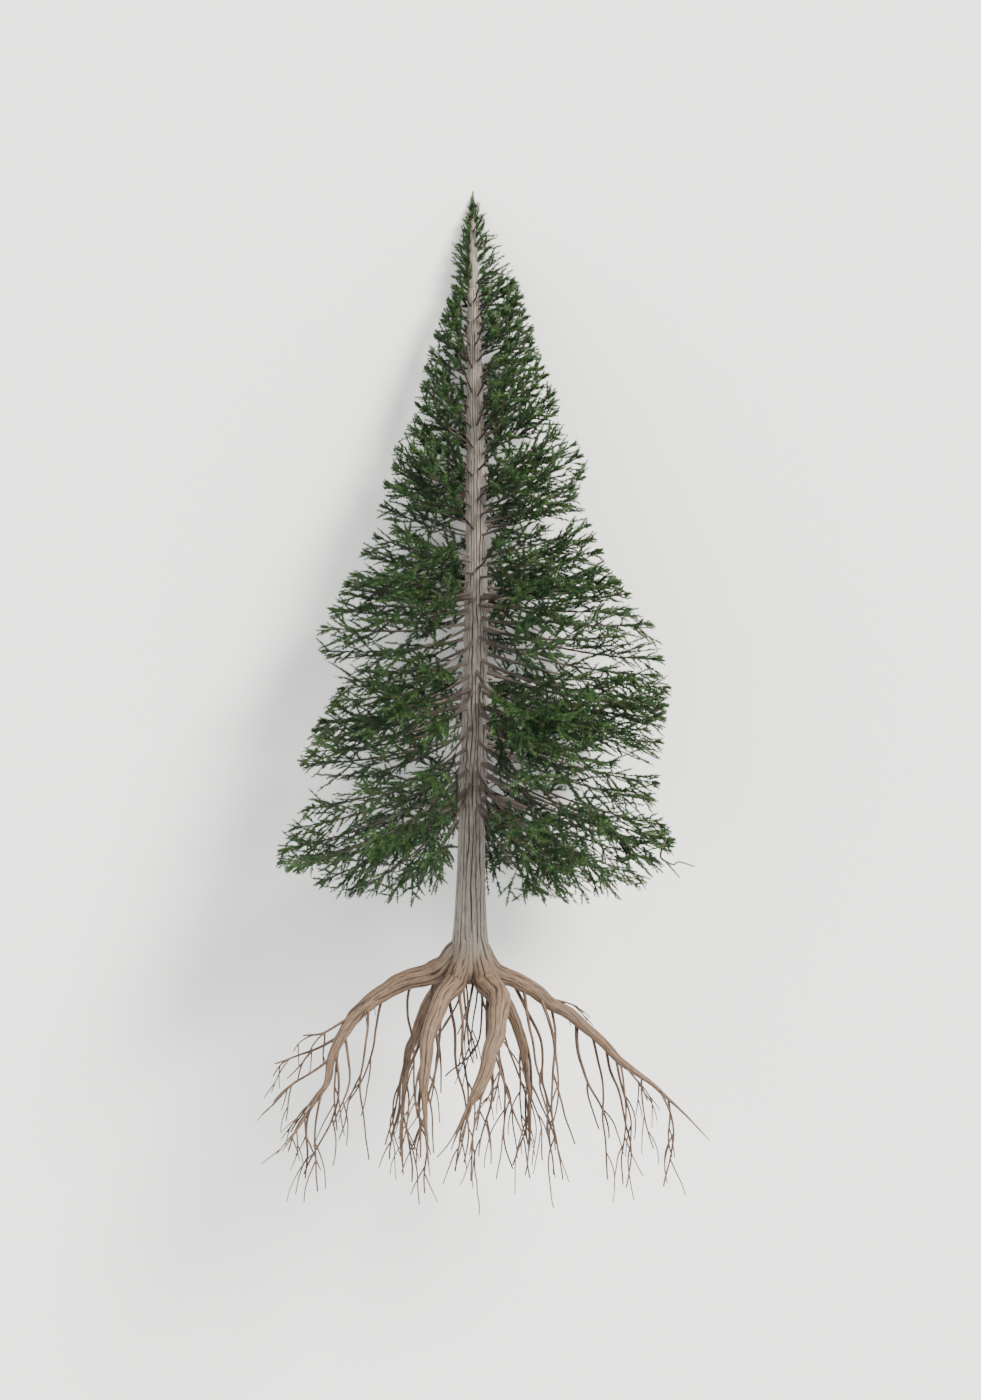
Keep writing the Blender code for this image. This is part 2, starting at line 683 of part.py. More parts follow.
def make_rootlets(root, space):
    """The mass of rootlets that grows on from a root's end."""
    rng = random.Random(root.name + "lets")
    spread = ROOTLETS[root.name].spread
    stem, ahead = rootlet_stem(root)
    space.keep_behind(-ahead, -ahead.dot(stem[0]) - MASS_CLEARANCE)
    space.keep_behind(-UP, -ROOT_BOTTOM)
    space.keep_behind(FLOOR_SIDE, FLOOR_DISTANCE - FLOOR_CLEARANCE)
    radii = tapered(root.thin * ROOTLET_STEM_SHARE, ROOTLET_STEM_TIP, len(stem))
    wood = [tube(stem, radii, 3, rng.random(), first=ahead, pointed=True)]
    first, last = ROOTLET_SPAN
    for k in range(ROOTLET_BRANCHES):
        foot, ahead = along(stem, first + (last - first) * k / (ROOTLET_BRANCHES - 1))
        azimuth = GOLDEN_ANGLE * k + rng.uniform(-GOLDEN_PLAY, GOLDEN_PLAY)
        way = (ahead * 0.5 + outward(azimuth) * 0.9 - UP * 0.3).normalized()
        for _ in range(ROOTLET_TRIES):
            run = spread * rng.uniform(*ROOTLET_RUNS)
            solid, twig = rootlet(foot, way, run, ROOTLET_RADIUS, rng)
            if not space.holds(solid[0][3:]):
                continue
            wood.append(solid)
            fork, ahead = along(twig, FORK_SHARE)
            aside = outward(azimuth + 90) * rng.choice((-FORK_TURN, FORK_TURN))
            way = (ahead + aside).normalized()
            solid, _ = rootlet(fork, way, run * FORK_SIZE, ROOTLET_RADIUS * FORK_SIZE, rng)
            if space.holds(solid[0][3:]):
                wood.append(solid)
            break
    dress(fuse("rootlets_" + root.name, wood), ROOT_SKIN)


def make_roots():
    """The roots, each cut clear of the trunk and of its neighbour, and their rootlets."""
    ends = [root.azimuth + root.turn for root in ROOTS]
    for i, root in enumerate(ROOTS):
        limb = add_object("root_" + root.name, root_solid(root))
        cut(limb, trunk_solid(GAP))
        if i:
            cut(limb, root_solid(ROOTS[i - 1], GAP))
        if i == len(ROOTS) - 1:
            cut(limb, root_solid(ROOTS[0], GAP))
        dress(limb, ROOT_SKIN)
        space = Space()
        after = ends[(i + 1) % len(ROOTS)]
        before = ends[i - 1]
        for side, other in ((1, after), (-1, before)):
            half = ((other - ends[i]) * side % 360) / 2
            normal = outward(ends[i] + side * (half + 90))
            space.keep_behind(normal, -SECTOR_GAP / 2)
        make_rootlets(root, space)


def lay_down():
    """Lays the tree on its back, and puts the middle of its box's underside at the origin."""
    turn = Matrix.Rotation(-(math.pi / 2 + LYING_PITCH), 4, "X")
    low = Vector((math.inf,) * 3)
    high = Vector((-math.inf,) * 3)
    for ob in bpy.data.objects:
        ob.data.transform(turn)
        for vert in ob.data.vertices:
            for k in range(3):
                low[k] = min(low[k], vert.co[k])
                high[k] = max(high[k], vert.co[k])
    shift = -Vector(((low.x + high.x) / 2, (low.y + high.y) / 2, low.z))
    for ob in bpy.data.objects:
        ob.data.transform(Matrix.Translation(shift))
        ob.data.update()


def main():
    clear_scene()
    dress(add_object("trunk", trunk_solid()), BARK)
    make_crown()
    make_leader()
    make_roots()
    lay_down()


main()
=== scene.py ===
# %% [markdown]
# # A bare-rooted fir, laid down
# This lesson dresses a fir tree that was lifted with all its roots. The solid model gives its trunk,
# its boughs, its roots and the room that each mass of foliage fills. Here the trunk gets bark with
# relief, and every mass becomes real boughs, twigs, shoots and needles. They grow by the same rule
# as the solids did, only finer. Everything is worked out on the standing tree, where up is up, and
# is laid down at the end.

import math
import random
from collections import namedtuple

import bpy
import numpy as np
from mathutils import Matrix, Vector, noise


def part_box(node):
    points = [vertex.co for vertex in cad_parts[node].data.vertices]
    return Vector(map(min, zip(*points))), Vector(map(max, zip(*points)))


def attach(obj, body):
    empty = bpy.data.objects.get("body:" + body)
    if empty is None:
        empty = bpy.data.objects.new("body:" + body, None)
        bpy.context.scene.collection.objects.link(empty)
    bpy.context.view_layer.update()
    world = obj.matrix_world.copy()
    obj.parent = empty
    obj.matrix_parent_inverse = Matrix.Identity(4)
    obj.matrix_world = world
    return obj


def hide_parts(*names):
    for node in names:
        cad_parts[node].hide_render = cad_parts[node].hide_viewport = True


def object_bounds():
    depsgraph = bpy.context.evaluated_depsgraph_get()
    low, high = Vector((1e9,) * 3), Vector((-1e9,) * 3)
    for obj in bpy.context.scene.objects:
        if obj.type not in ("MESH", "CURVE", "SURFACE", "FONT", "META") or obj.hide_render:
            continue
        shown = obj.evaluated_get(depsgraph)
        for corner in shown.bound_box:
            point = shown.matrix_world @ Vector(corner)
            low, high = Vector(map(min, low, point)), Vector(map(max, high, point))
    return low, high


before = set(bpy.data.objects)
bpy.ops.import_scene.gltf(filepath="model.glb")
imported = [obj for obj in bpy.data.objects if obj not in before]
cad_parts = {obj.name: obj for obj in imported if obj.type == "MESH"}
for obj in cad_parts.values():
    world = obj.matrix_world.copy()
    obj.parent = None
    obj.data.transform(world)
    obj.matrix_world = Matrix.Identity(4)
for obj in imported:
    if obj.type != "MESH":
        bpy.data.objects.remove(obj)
size_before = [list(corner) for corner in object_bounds()]
print("nodes in the frame:", len(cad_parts))

# %% [markdown]
# ## From the standing tree to the lying one
# The tree lies on the back of its crown, so its trunk slopes down to the tip. One turn about X does
# that. The shift that follows isn't typed in: the trunk's box gives it sideways, and the tip of the
# leading shoot, the last point of the crown, gives it along and up.

# %% Lay the tree down
UP = Vector((0, 0, 1))
BACK = Vector((0, 1, 0))
TREE_HEIGHT = 7.78
LYING_PITCH = math.radians(14.8)

turn = Matrix.Rotation(-(math.pi / 2 + LYING_PITCH), 4, "X")
trunk_low, trunk_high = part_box("trunk")
tip_low, tip_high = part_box("foliage_leader")
tip_turned = turn @ Vector((0, 0, TREE_HEIGHT))
middle_x = (trunk_low.x + trunk_high.x) / 2
lie = Matrix.Translation((middle_x, tip_high.y - tip_turned.y, tip_low.z - tip_turned.z)) @ turn
print("the root crown lies at", [round(v, 3) for v in lie.translation])

# %% [markdown]
# ## Camera, floor and light
# The camera looks square at the trunk, as the standing tree was seen, which means down on the tree
# that lies. A long lens keeps the picture flat. The pale floor runs out past every edge, and the
# light is broad and soft, with its stronger side at the upper right.

# %% Camera
PICTURE_HEIGHT = 14.0
CAMERA_LENS = 100.0
CAMERA_SENSOR = 36.0
AIM = Vector((0.205, 0.0, 2.68))
FLOOR_SIZE = 600.0


def add_object(name, data):
    """A new object of the scene that holds the data, at the origin."""
    made = bpy.data.objects.new(name, data)
    bpy.context.scene.collection.objects.link(made)
    return made


camera_data = bpy.data.cameras.new("camera")
camera_data.lens = CAMERA_LENS
camera_data.sensor_width = CAMERA_SENSOR
camera_data.clip_end = FLOOR_SIZE
camera = add_object("camera", camera_data)
camera_distance = PICTURE_HEIGHT * CAMERA_LENS / CAMERA_SENSOR
stand_off = Matrix.Translation(AIM - BACK * camera_distance) @ Matrix.Rotation(math.pi / 2, 4, "X")
camera.matrix_world = lie @ stand_off
bpy.context.scene.camera = camera
print("camera", round(camera_distance, 2), "m from the trunk")

# %% Floor and lights
FLOOR_COLOUR = (0.92, 0.915, 0.90)
FLOOR_ROUGHNESS = 0.95
SHINE = 0.35


def mesh_object(name, points, edges=(), faces=()):
    """A new object with a mesh of these points, edges and faces."""
    mesh = bpy.data.meshes.new(name)
    mesh.from_pydata([tuple(p) for p in points], edges, faces)
    return add_object(name, mesh)


def plain_material(name, colour, roughness):
    """One plain colour, with little shine."""
    made = bpy.data.materials.new(name)
    made.use_nodes = True
    shader = made.node_tree.nodes["Principled BSDF"]
    shader.inputs["Base Color"].default_value = (*colour, 1.0)
    shader.inputs["Roughness"].default_value = roughness
    shader.inputs["Specular IOR Level"].default_value = SHINE
    return made


def add_light(name, way, angle, strength, colour):
    """A broad soft light that shines along a direction of the standing tree."""
    light = bpy.data.lights.new(name, "SUN")
    light.angle = math.radians(angle)
    light.energy = strength
    light.color = colour
    lying_way = lie.to_3x3() @ way
    add_object(name, light).rotation_euler = lying_way.to_track_quat("-Z", "Y").to_euler()


half = FLOOR_SIZE / 2
corners = [(-half, -half, 0), (half, -half, 0), (half, half, 0), (-half, half, 0)]
floor = mesh_object("floor", corners, faces=[(0, 1, 2, 3)])
floor.data.materials.append(plain_material("floor_paper", FLOOR_COLOUR, FLOOR_ROUGHNESS))
add_light("key", Vector((-0.50, 0.72, -0.48)), angle=20, strength=9.0, colour=(1.0, 0.97, 0.92))
add_light("fill", Vector((0.75, 0.66, 0.05)), angle=50, strength=0.8, colour=(0.93, 0.96, 1.0))
print("floor and two soft lights")

# %% [markdown]
# ## Writing node trees as sums
# Both materials and Geometry Nodes are graphs of small sums. A class that wraps one output socket
# lets those sums be written as Python expressions, such as `1 - mask * depth`. Every other node
# comes from one method that takes the node's type, its inputs and its settings.


# %% Wires and graphs
class Wire:
    """One output of a node. Arithmetic on it adds the nodes that do the sum."""

    def __init__(self, graph, socket):
        self.graph = graph
        self.socket = socket
        self.is_vector = socket.type in ("VECTOR", "RGBA")

    def __add__(self, other):
        return self.graph.maths("ADD", self, other)

    def __radd__(self, other):
        return self.graph.maths("ADD", other, self)

    def __sub__(self, other):
        return self.graph.maths("SUBTRACT", self, other)

    def __rsub__(self, other):
        return self.graph.maths("SUBTRACT", other, self)

    def __mul__(self, other):
        return self.graph.maths("MULTIPLY", self, other)

    def __rmul__(self, other):
        return self.graph.maths("MULTIPLY", other, self)

    def __pow__(self, other):
        return self.graph.maths("POWER", self, other)


class Graph:
    """A node tree that is filled by calls."""

    def __init__(self, tree):
        self.tree = tree

    def feed(self, socket, value):
        if isinstance(value, Wire):
            self.tree.links.new(value.socket, socket)
        else:
            socket.default_value = value

    def maths(self, operation, *values):
        """A sum on numbers or, where one of the wires carries a vector, on vectors."""
        vectors = [isinstance(v, Wire) and v.is_vector for v in values]
        if not any(vectors):
            return self.add("ShaderNodeMath", "Value", dict(enumerate(values)), operation=operation)
        inputs = dict(enumerate(values))
        if operation == "MULTIPLY" and not all(vectors):
            vector, number = values if vectors[0] else values[::-1]
            operation, inputs = "SCALE", {"Vector": vector, "Scale": number}
        return self.add("ShaderNodeVectorMath", "Vector", inputs, operation=operation)

    def add(self, kind, output, inputs=None, stops=None, **settings):
        """A node of any kind. Inputs are given by name or place. Gives the wire of one output."""
        node = self.tree.nodes.new(kind)
        for name, value in settings.items():
            setattr(node, name, value)
        if stops:
            for element, (place, colour) in zip(node.color_ramp.elements, stops):
                element.position = place
                element.color = (*colour, 1.0)
        for key, value in (inputs or {}).items():
            if isinstance(key, int):
                self.feed(node.inputs[key], value)
            else:
                self.feed(next(s for s in node.inputs if s.enabled and s.name == key), value)
        return Wire(self, next(s for s in node.outputs if s.enabled and s.name == output))

    def noise(self, place, scale, detail, **inputs):
        """A noise from 0 to 1, finer where its scale is larger."""
        inputs |= {"Vector": place, "Scale": scale, "Detail": detail}
        return self.add("ShaderNodeTexNoise", "Fac", inputs)

    def mix(self, factor, first, second):
        """A colour between two."""
        inputs = {"Factor": factor, "A": first, "B": second}
        return self.add("ShaderNodeMix", "Result", inputs, data_type="RGBA")

    def carried(self, name, output="Fac"):
        """What a mesh carries under a name, for its material."""
        return self.add("ShaderNodeAttribute", output, attribute_name=name)


print("a graph turns sums into nodes")

# %% [markdown]
# ## The page behind the tree
# The floor runs on to a horizon that a low camera sees. The sky lights the tree softly, but where
# the camera looks straight at it, it is about as bright as the lit floor, so the two meet unseen.

# %% Sky
SKY_LIGHT = 1.35
SKY_SEEN = 3.0

world = bpy.data.worlds.new("studio")
world.use_nodes = True
sky = Graph(world.node_tree)
background = world.node_tree.nodes["Background"]
seen = sky.add("ShaderNodeLightPath", "Is Camera Ray")
sky.feed(background.inputs["Color"], (1.0, 1.0, 1.0, 1.0))
sky.feed(background.inputs["Strength"], seen * (SKY_SEEN - SKY_LIGHT) + SKY_LIGHT)
bpy.context.scene.world = world
print("sky light", SKY_LIGHT)

# %% [markdown]
# ## Bark and wood
# Young fir bark is grey-brown, and splits into long upright fissures as the trunk thickens. The
# meshes below carry a `grain` attribute, which unrolls each trunk or root along its length, and an
# attribute that is 1 in the fissures. So the colour follows the relief, whichever way the limb
# bends. Ridges are bleached, and the fissures are painted almost black: painted shade in the splits.

# %% Bark materials
Bark = namedtuple("Bark", "ridge body crevice fleck")
# The third colour of each bark is near black: painted shade in its splits
TRUNK_BARK = Bark((0.28, 0.25, 0.215), (0.14, 0.118, 0.096), (0.008, 0.006, 0.005), (0.27, 0.28, 0.235))
ROOT_BARK = Bark((0.155, 0.098, 0.058), (0.078, 0.046, 0.027), (0.010, 0.006, 0.004), (0.145, 0.104, 0.070))
STREAK_SCALE = 9.0
PATCH_SCALE = 1.7
FLAKE_SCALE = 26.0
BARK_STOPS = (0.38, 0.60)
# How far the painted shade darkens the splits towards that near black
MOST_CREVICE_SHADE = 0.96

# Pale flecks: where in the patches they begin, how sharp their edge is and how strong they get
FLECKS = (0.56, 6.0, 0.5)


def new_material(name):
    """A new material, the graph of its nodes and its shader."""
    made = bpy.data.materials.new(name)
    made.use_nodes = True
    return made, Graph(made.node_tree), made.node_tree.nodes["Principled BSDF"]


def finish_surface(graph, shader, colour, roughness, **relief):
    """Leads the colour, the roughness and a fine relief to a shader."""
    graph.feed(shader.inputs["Base Color"], colour)
    graph.feed(shader.inputs["Roughness"], roughness)
    graph.feed(shader.inputs["Normal"], graph.add("ShaderNodeBump", "Normal", relief))


def bark_material(name, *coats):
    """Bark whose colour follows the grain, the crevices and the height that its mesh carries, with painted
    shade in the crevices.
    """
    made, graph, shader = new_material(name)
    grain = graph.carried("grain", "Vector")
    crevice = graph.carried("crevice")
    streaks = graph.noise(grain, STREAK_SCALE, 6.0, Roughness=0.65)
    patches = graph.noise(grain, PATCH_SCALE, 3.0)
    flakes = graph.noise(grain, FLAKE_SCALE, 3.0)
    least, steepness, most = FLECKS
    fleck = graph.maths("MINIMUM", graph.maths("MAXIMUM", (patches - least) * steepness, 0.0), most)
    # Painted shade: the mask of the splits darkens them almost to black
    painted_shade = graph.maths("MINIMUM", crevice * 1.25, MOST_CREVICE_SHADE)
    colours = []
    for coat in coats:
        stops = list(zip(BARK_STOPS, (coat.body, coat.ridge)))
        ridges = graph.add("ShaderNodeValToRGB", "Color", {"Fac": streaks}, stops)
        spotted = graph.mix(fleck, ridges, (*coat.fleck, 1.0))
        colours.append(graph.mix(painted_shade, spotted, (*coat.crevice, 1.0)))
    colour = graph.mix(graph.carried("earth"), *colours)
    height = streaks * 0.6 + flakes * 0.4
    finish_surface(graph, shader, colour, 0.78 + crevice * 0.15, Strength=0.5, Distance=0.006, Height=height)
    return made


stem_bark = bark_material("stem_bark", TRUNK_BARK, ROOT_BARK)
print("trunk and root bark")

# %% Twig materials
TONE_SCALE = 6.0
SPOT_SCALE = 160.0
TWIG_STOPS = (0.38, 0.66)
FOOT_FADE = 5.0


def twig_material(name, wood, young, foot=None):
    """Smooth thin bark with small lenticels. A limb with a colour for its foot fades from that."""
    made, graph, shader = new_material(name)
    place = graph.add("ShaderNodeTexCoord", "Object")
    tone = graph.noise(place, TONE_SCALE, 5.0)
    spots = graph.noise(place, SPOT_SCALE, 1.0)
    colour = graph.add("ShaderNodeValToRGB", "Color", {"Fac": tone}, list(zip(TWIG_STOPS, (wood, young))))
    if foot:
        faded = graph.maths("MINIMUM", graph.carried("youth") * FOOT_FADE, 1.0)
        colour = graph.mix(faded, (*foot, 1.0), colour)
    finish_surface(graph, shader, colour, 0.66 + spots * 0.2, Strength=0.4, Distance=0.002, Height=spots)
    return made


bough_bark = twig_material("bough_bark", (0.030, 0.022, 0.016), (0.078, 0.060, 0.045), TRUNK_BARK.body)
twig_bark = plain_material("twig_bark", (0.050, 0.036, 0.020), 0.8)
rootlet_bark = twig_material("rootlet_bark", (0.036, 0.019, 0.011), (0.095, 0.056, 0.032))
dead_wood = twig_material("dead_wood", (0.036, 0.030, 0.025), (0.095, 0.082, 0.068))
print("bough, twig and rootlet bark")

# %% [markdown]
# ## Needle greens
# A fir's needles are glossy above. This year's are brighter, and those deep inside are old and dull.
# A colour that lies in one place would slide when the model is shared, so each shoot is dealt one of
# five plain greens instead, by where it grows.

# %% Needle materials
NEEDLE_TINTS = (
    ("needles_deep", (0.008, 0.024, 0.009), 0.50),
    ("needles_dark", (0.012, 0.036, 0.012), 0.46),
    ("needles_green", (0.019, 0.052, 0.015), 0.44),
    ("needles_fresh", (0.036, 0.082, 0.020), 0.42),
    ("needles_old", (0.044, 0.046, 0.016), 0.55),
)

needle_materials = [plain_material(*tint) for tint in NEEDLE_TINTS]
print("needle greens:", len(needle_materials))

# %% [markdown]
# ## Measures of the tree
# The trunk's line and thickness, the crown's outline and the room of each mass are the source's own
# rules. They are written again here, because the foliage has to grow on from the same limbs and to
# stop at the same planes.

# %% Trunk and outline
TRUNK_TOP = 6.80
TRUNK_RADIUS = 0.145
TRUNK_TAPER = 0.5
TRUNK_LEAN = 0.03
TRUNK_BEND = 0.045
FLARE = 0.08
FLARE_HEIGHT = 0.4
FOOT_DEPTH = 0.27

# Each row is a height and how far the foliage reaches there, to the left and to the right
CROWN_OUTLINE = (
    (0.65, 1.30, 1.60),
    (1.00, 1.96, 2.02),
    (1.30, 1.95, 2.07),
    (1.70, 1.68, 1.88),
    (2.10, 1.80, 1.90),
    (2.80, 1.40, 1.98),
    (3.33, 1.66, 1.88),
    (4.08, 1.20, 1.32),
    (4.65, 0.99, 1.10),
    (5.12, 0.88, 1.15),
    (5.45, 0.68, 0.95),
    (6.18, 0.48, 0.69),
    (6.78, 0.25, 0.51),
    (7.25, 0.22, 0.30),
    (7.60, 0.09, 0.13),
    (TREE_HEIGHT, 0.01, 0.01),
)


def outward(azimuth):
    """The level direction of an azimuth in degrees."""
    angle = math.radians(azimuth)
    return Vector((math.cos(angle), math.sin(angle), 0.0))


def trunk_centre(z):
    """The trunk's centre at a height."""
    share = min(max(z / TREE_HEIGHT, 0.0), 1.0)
    shift = TRUNK_LEAN * share + TRUNK_BEND * math.sin(math.pi * share) ** 2
    return Vector((shift, 0.0, z))


def trunk_radius(z):
    """The trunk's radius at a height: its taper, the root flare and the rounded foot."""
    up = max(z, 0.0)
    radius = TRUNK_RADIUS * (1 - up / TREE_HEIGHT) ** TRUNK_TAPER
    radius += FLARE * math.exp(-up / FLARE_HEIGHT)
    if z < 0:
        radius *= math.sqrt(max(1 - (z / FOOT_DEPTH) ** 2, 0.0))
    return radius


def crown_reach(z, azimuth):
    """How far the foliage reaches from the trunk at a height, between its two side outlines."""
    z = min(max(z, CROWN_OUTLINE[0][0]), TREE_HEIGHT)
    pairs = zip(CROWN_OUTLINE, CROWN_OUTLINE[1:])
    low, high = next(pair for pair in pairs if z <= pair[1][0])
    share = (z - low[0]) / (high[0] - low[0])
    left = low[1] + share * (high[1] - low[1])
    right = low[2] + share * (high[2] - low[2])
    to_right = (1 + math.cos(math.radians(azimuth))) / 2
    return left + to_right * (right - left)


def outline_point(z, azimuth, inset):
    """The point of the outline at a height, drawn in by the inset."""
    return trunk_centre(z) + outward(azimuth) * (crown_reach(z, azimuth) - inset)


print("crown reach at 3.33 m:", round(crown_reach(3.33, 180), 2), round(crown_reach(3.33, 0), 2))

# %% Tiers and the room of each mass
FLOOR_SIDE = Vector((0.0, math.cos(LYING_PITCH), math.sin(LYING_PITCH)))
FLOOR_DISTANCE = TREE_HEIGHT * math.sin(LYING_PITCH)
SHOOT_MARGIN = 0.030
CROWN_FLOOR = 0.68
UNDERSIDE = (1.24, 0.9)
TIER_OVERLAP = 0.10
STRIP_SIDE = 0.010

# The last two numbers are how many boughs a sector on the left has, and how far their twigs droop
Tier = namedtuple("Tier", "name foot tip ceiling slope stagger sectors has_bough boughs droop")
SIX_WAYS = tuple((azimuth, azimuth - 30, azimuth + 30) for azimuth in range(0, 360, 60))
THREE_WAYS = ((345, 270, 390), (90, 30, 150), (195, 150, 270))
TIERS = (
    Tier("low", 1.72, 1.14, 2.36, -0.22, 0.16, SIX_WAYS, True, 6, 24),
    Tier("middle", 2.72, 2.55, 3.36, -0.16, 0.16, SIX_WAYS, True, 7, 16),
    Tier("high", 3.70, 3.85, 4.22, 0.24, 0.0, SIX_WAYS, True, 8, 6),
    Tier("upper", 4.46, 4.95, 4.94, 0.38, 0.10, THREE_WAYS, False, 11, 0),
    Tier("slender", 5.18, 5.70, 5.74, 0.45, 0.08, THREE_WAYS, False, 10, -6),
    Tier("crest", 5.90, 6.52, 6.78, 0.15, 0.0, THREE_WAYS, False, 11, -10),
)


def in_outline(point, margin):
    """Whether a point lies inside the crown's outline by a margin."""
    out = point - trunk_centre(point.z)
    azimuth = math.degrees(math.atan2(out.y, out.x))
    return out.xy.length <= crown_reach(point.z, azimuth) - margin


class Space:
    """The part of the crown that one mass keeps to."""

    def __init__(self, lowest_tier=False):
        self.planes = []
        self.lowest_tier = lowest_tier

    def keep_behind(self, normal, distance):
        self.planes.append((normal, distance))

    def holds(self, point):
        """Whether a shoot may end at a point."""
        if self.lowest_tier and point.z < UNDERSIDE[0] - UNDERSIDE[1] * point.xy.length:
            return False
        behind = all(n.dot(point) <= distance - SHOOT_MARGIN for n, distance in self.planes)
        return behind and in_outline(point, SHOOT_MARGIN * 0.5)


def tier_space(tier, sector, floor_plane, ceiling_plane):
    """The room of one mass: a sector of a tier, clear of the strip of trunk and of the floor."""
    azimuth, *edges = sector
    space = Space(floor_plane[0] == CROWN_FLOOR)
    middle = outward(azimuth)
    centre = trunk_centre(tier.foot)
    for side, edge in zip((-1, 1), edges):
        normal = outward(edge + side * 90)
        inset = trunk_radius(tier.foot) + STRIP_SIDE if edge % 360 == 270 else 0.0
        space.keep_behind(normal, centre.dot(normal) - inset)
    for side, (height, slope) in ((-1, floor_plane), (1, ceiling_plane)):
        normal = (UP - slope * middle) * side
        over = 0.0 if height == CROWN_FLOOR else TIER_OVERLAP
        space.keep_behind(normal, normal.dot(Vector((centre.x, centre.y, height))) + SHOOT_MARGIN + over)
    space.keep_behind(FLOOR_SIDE, FLOOR_DISTANCE)
    return space


print("tiers:", [tier.name for tier in TIERS])

# %% [markdown]
# ## Lines that nodes can clothe
# A tree is a set of lines before it is anything else. Each bough, twig, shoot or root is kept as a
# line of points with a radius at each. One mesh of bare edges then holds hundreds of such lines, and
# a Geometry Nodes tree turns them all into bark or needles at once.


# %% Line sets
def tapered(first, last, count, power=1.0):
    """A number of values that run from first to last."""
    return [first + (last - first) * (i / (count - 1)) ** power for i in range(count)]


def carry(mesh, name, values):
    """Gives a mesh an attribute with one number, or one vector, for each of its points."""
    if isinstance(values[0], float):
        mesh.attributes.new(name, "FLOAT", "POINT").data.foreach_set("value", values)
    else:
        flat = [v for vector in values for v in vector]
        mesh.attributes.new(name, "FLOAT_VECTOR", "POINT").data.foreach_set("vector", flat)


class Lines:
    """Lines of points with a radius, an upper side and a tint, kept as one mesh of edges."""

    def __init__(self):
        self.points, self.edges = [], []
        self.radii, self.ups, self.tints = [], [], []

    def add(self, path, radii, up=UP, tint=0.0, last_tint=None):
        """One more line. Its tint runs evenly to last_tint, where that is given."""
        first = len(self.points)
        self.points += path
        self.radii += radii
        self.ups += [up] * len(path)
        self.tints += tapered(tint, tint if last_tint is None else last_tint, len(path))
        self.edges += [(first + i, first + i + 1) for i in range(len(path) - 1)]

    def count(self):
        """How many lines there are."""
        return len(self.points) - len(self.edges)

    def to_object(self):
        ob = mesh_object("lines", self.points, self.edges)
        for name, values in (("radius", self.radii), ("tint", self.tints), ("side_up", self.ups)):
            carry(ob.data, name, values)
        return ob


# %% Paths
CURVE_CUTS = 24


def bent(start, end, sag, count):
    """Points of a limb from start to end, with its middle lowered by sag."""
    shares = [i / (count - 1) for i in range(count)]
    return [start.lerp(end, s) - UP * (4 * sag * s * (1 - s)) for s in shares]


def along(path, share):
    """The point and the direction at a share of a path."""
    place = share * (len(path) - 1)
    i = min(int(place), len(path) - 2)
    return path[i].lerp(path[i + 1], place - i), (path[i + 1] - path[i]).normalized()


def path_steps(path):
    """How far each point of a path is from its start, along it."""
    steps = [0.0]
    for a, b in zip(path, path[1:]):
        steps.append(steps[-1] + (b - a).length)
    return steps


def smooth_path(points, count):
    """A curve through the points, cut evenly into a number of points."""
    ends = [points[0] * 2 - points[1]] + list(points) + [points[-1] * 2 - points[-2]]
    fine = []
    for i in range(1, len(ends) - 2):
        a, b, c, d = ends[i - 1 : i + 3]
        square = 2 * a - 5 * b + 4 * c - d
        cube = 3 * b - a - 3 * c + d
        for k in range(CURVE_CUTS):
            t = k / CURVE_CUTS
            fine.append(0.5 * (2 * b + (c - a) * t + square * t * t + cube * t**3))
    fine.append(Vector(points[-1]))
    steps = path_steps(fine)
    wanted = np.linspace(0.0, steps[-1], count)
    columns = [np.interp(wanted, steps, [p[axis] for p in fine]) for axis in range(3)]
    return [Vector(row) for row in zip(*columns)]


def level_side(ahead):
    """The level direction at right angles to a limb, and the direction over it."""
    across = ahead.cross(UP)
    if across.length < 0.05:
        across = ahead.cross(BACK)
    across.normalize()
    return across, across.cross(ahead)


print("lines and paths are ready")

# %% [markdown]
# ## The bark tree
# This Geometry Nodes tree takes such a mesh of lines and gives each line a skin: it sweeps a circle
# along it, as wide as the line's own radius, and pushes the skin in and out by a noise, so that even
# a thin bough has the relief of bark. Its sides, relief and material are named inputs.


# %% Geometry Nodes for bark
def new_group(name, inputs):
    """An empty Geometry Nodes tree. Gives its graph and its named inputs as wires."""
    tree = bpy.data.node_groups.new(name, "GeometryNodeTree")
    tree.interface.new_socket("Geometry", in_out="OUTPUT", socket_type="NodeSocketGeometry")
    for label, kind in {"Geometry": "Geometry", **inputs}.items():
        tree.interface.new_socket(label, in_out="INPUT", socket_type="NodeSocket" + kind)
    graph = Graph(tree)
    return graph, {s.name: Wire(graph, s) for s in tree.nodes.new("NodeGroupInput").outputs if s.name}


def change(graph, geometry, kind, **inputs):
    """A node that changes a geometry."""
    return graph.add("GeometryNode" + kind, "Geometry", {"Geometry": geometry, **inputs})


def close_group(graph, geometry):
    """Leads the last geometry to the tree's output."""
    end = graph.tree.nodes.new("NodeGroupOutput")
    graph.feed(end.inputs["Geometry"], geometry)
    return graph.tree


def run_group(lines, tree, name, **values):
    """Runs a tree on a set of lines and gives the plain mesh object that it makes."""
    ob = lines.to_object()
    clothe = ob.modifiers.new("clothe", "NODES")
    clothe.node_group = tree
    for item in tree.interface.items_tree:
        if item.in_out == "INPUT" and item.name.lower() in values:
            clothe[item.identifier] = values[item.name.lower()]
    evaluated = ob.evaluated_get(bpy.context.evaluated_depsgraph_get())
    mesh = bpy.data.meshes.new_from_object(evaluated)
    mesh.name = name
    ob.modifiers.clear()
    bpy.data.objects.remove(ob, do_unlink=True)
    return add_object(name, mesh)


def attribute_wire(graph, name, kind="FLOAT"):
    """An attribute of the geometry, read by its name."""
    return graph.add("GeometryNodeInputNamedAttribute", "Attribute", {"Name": name}, data_type=kind)


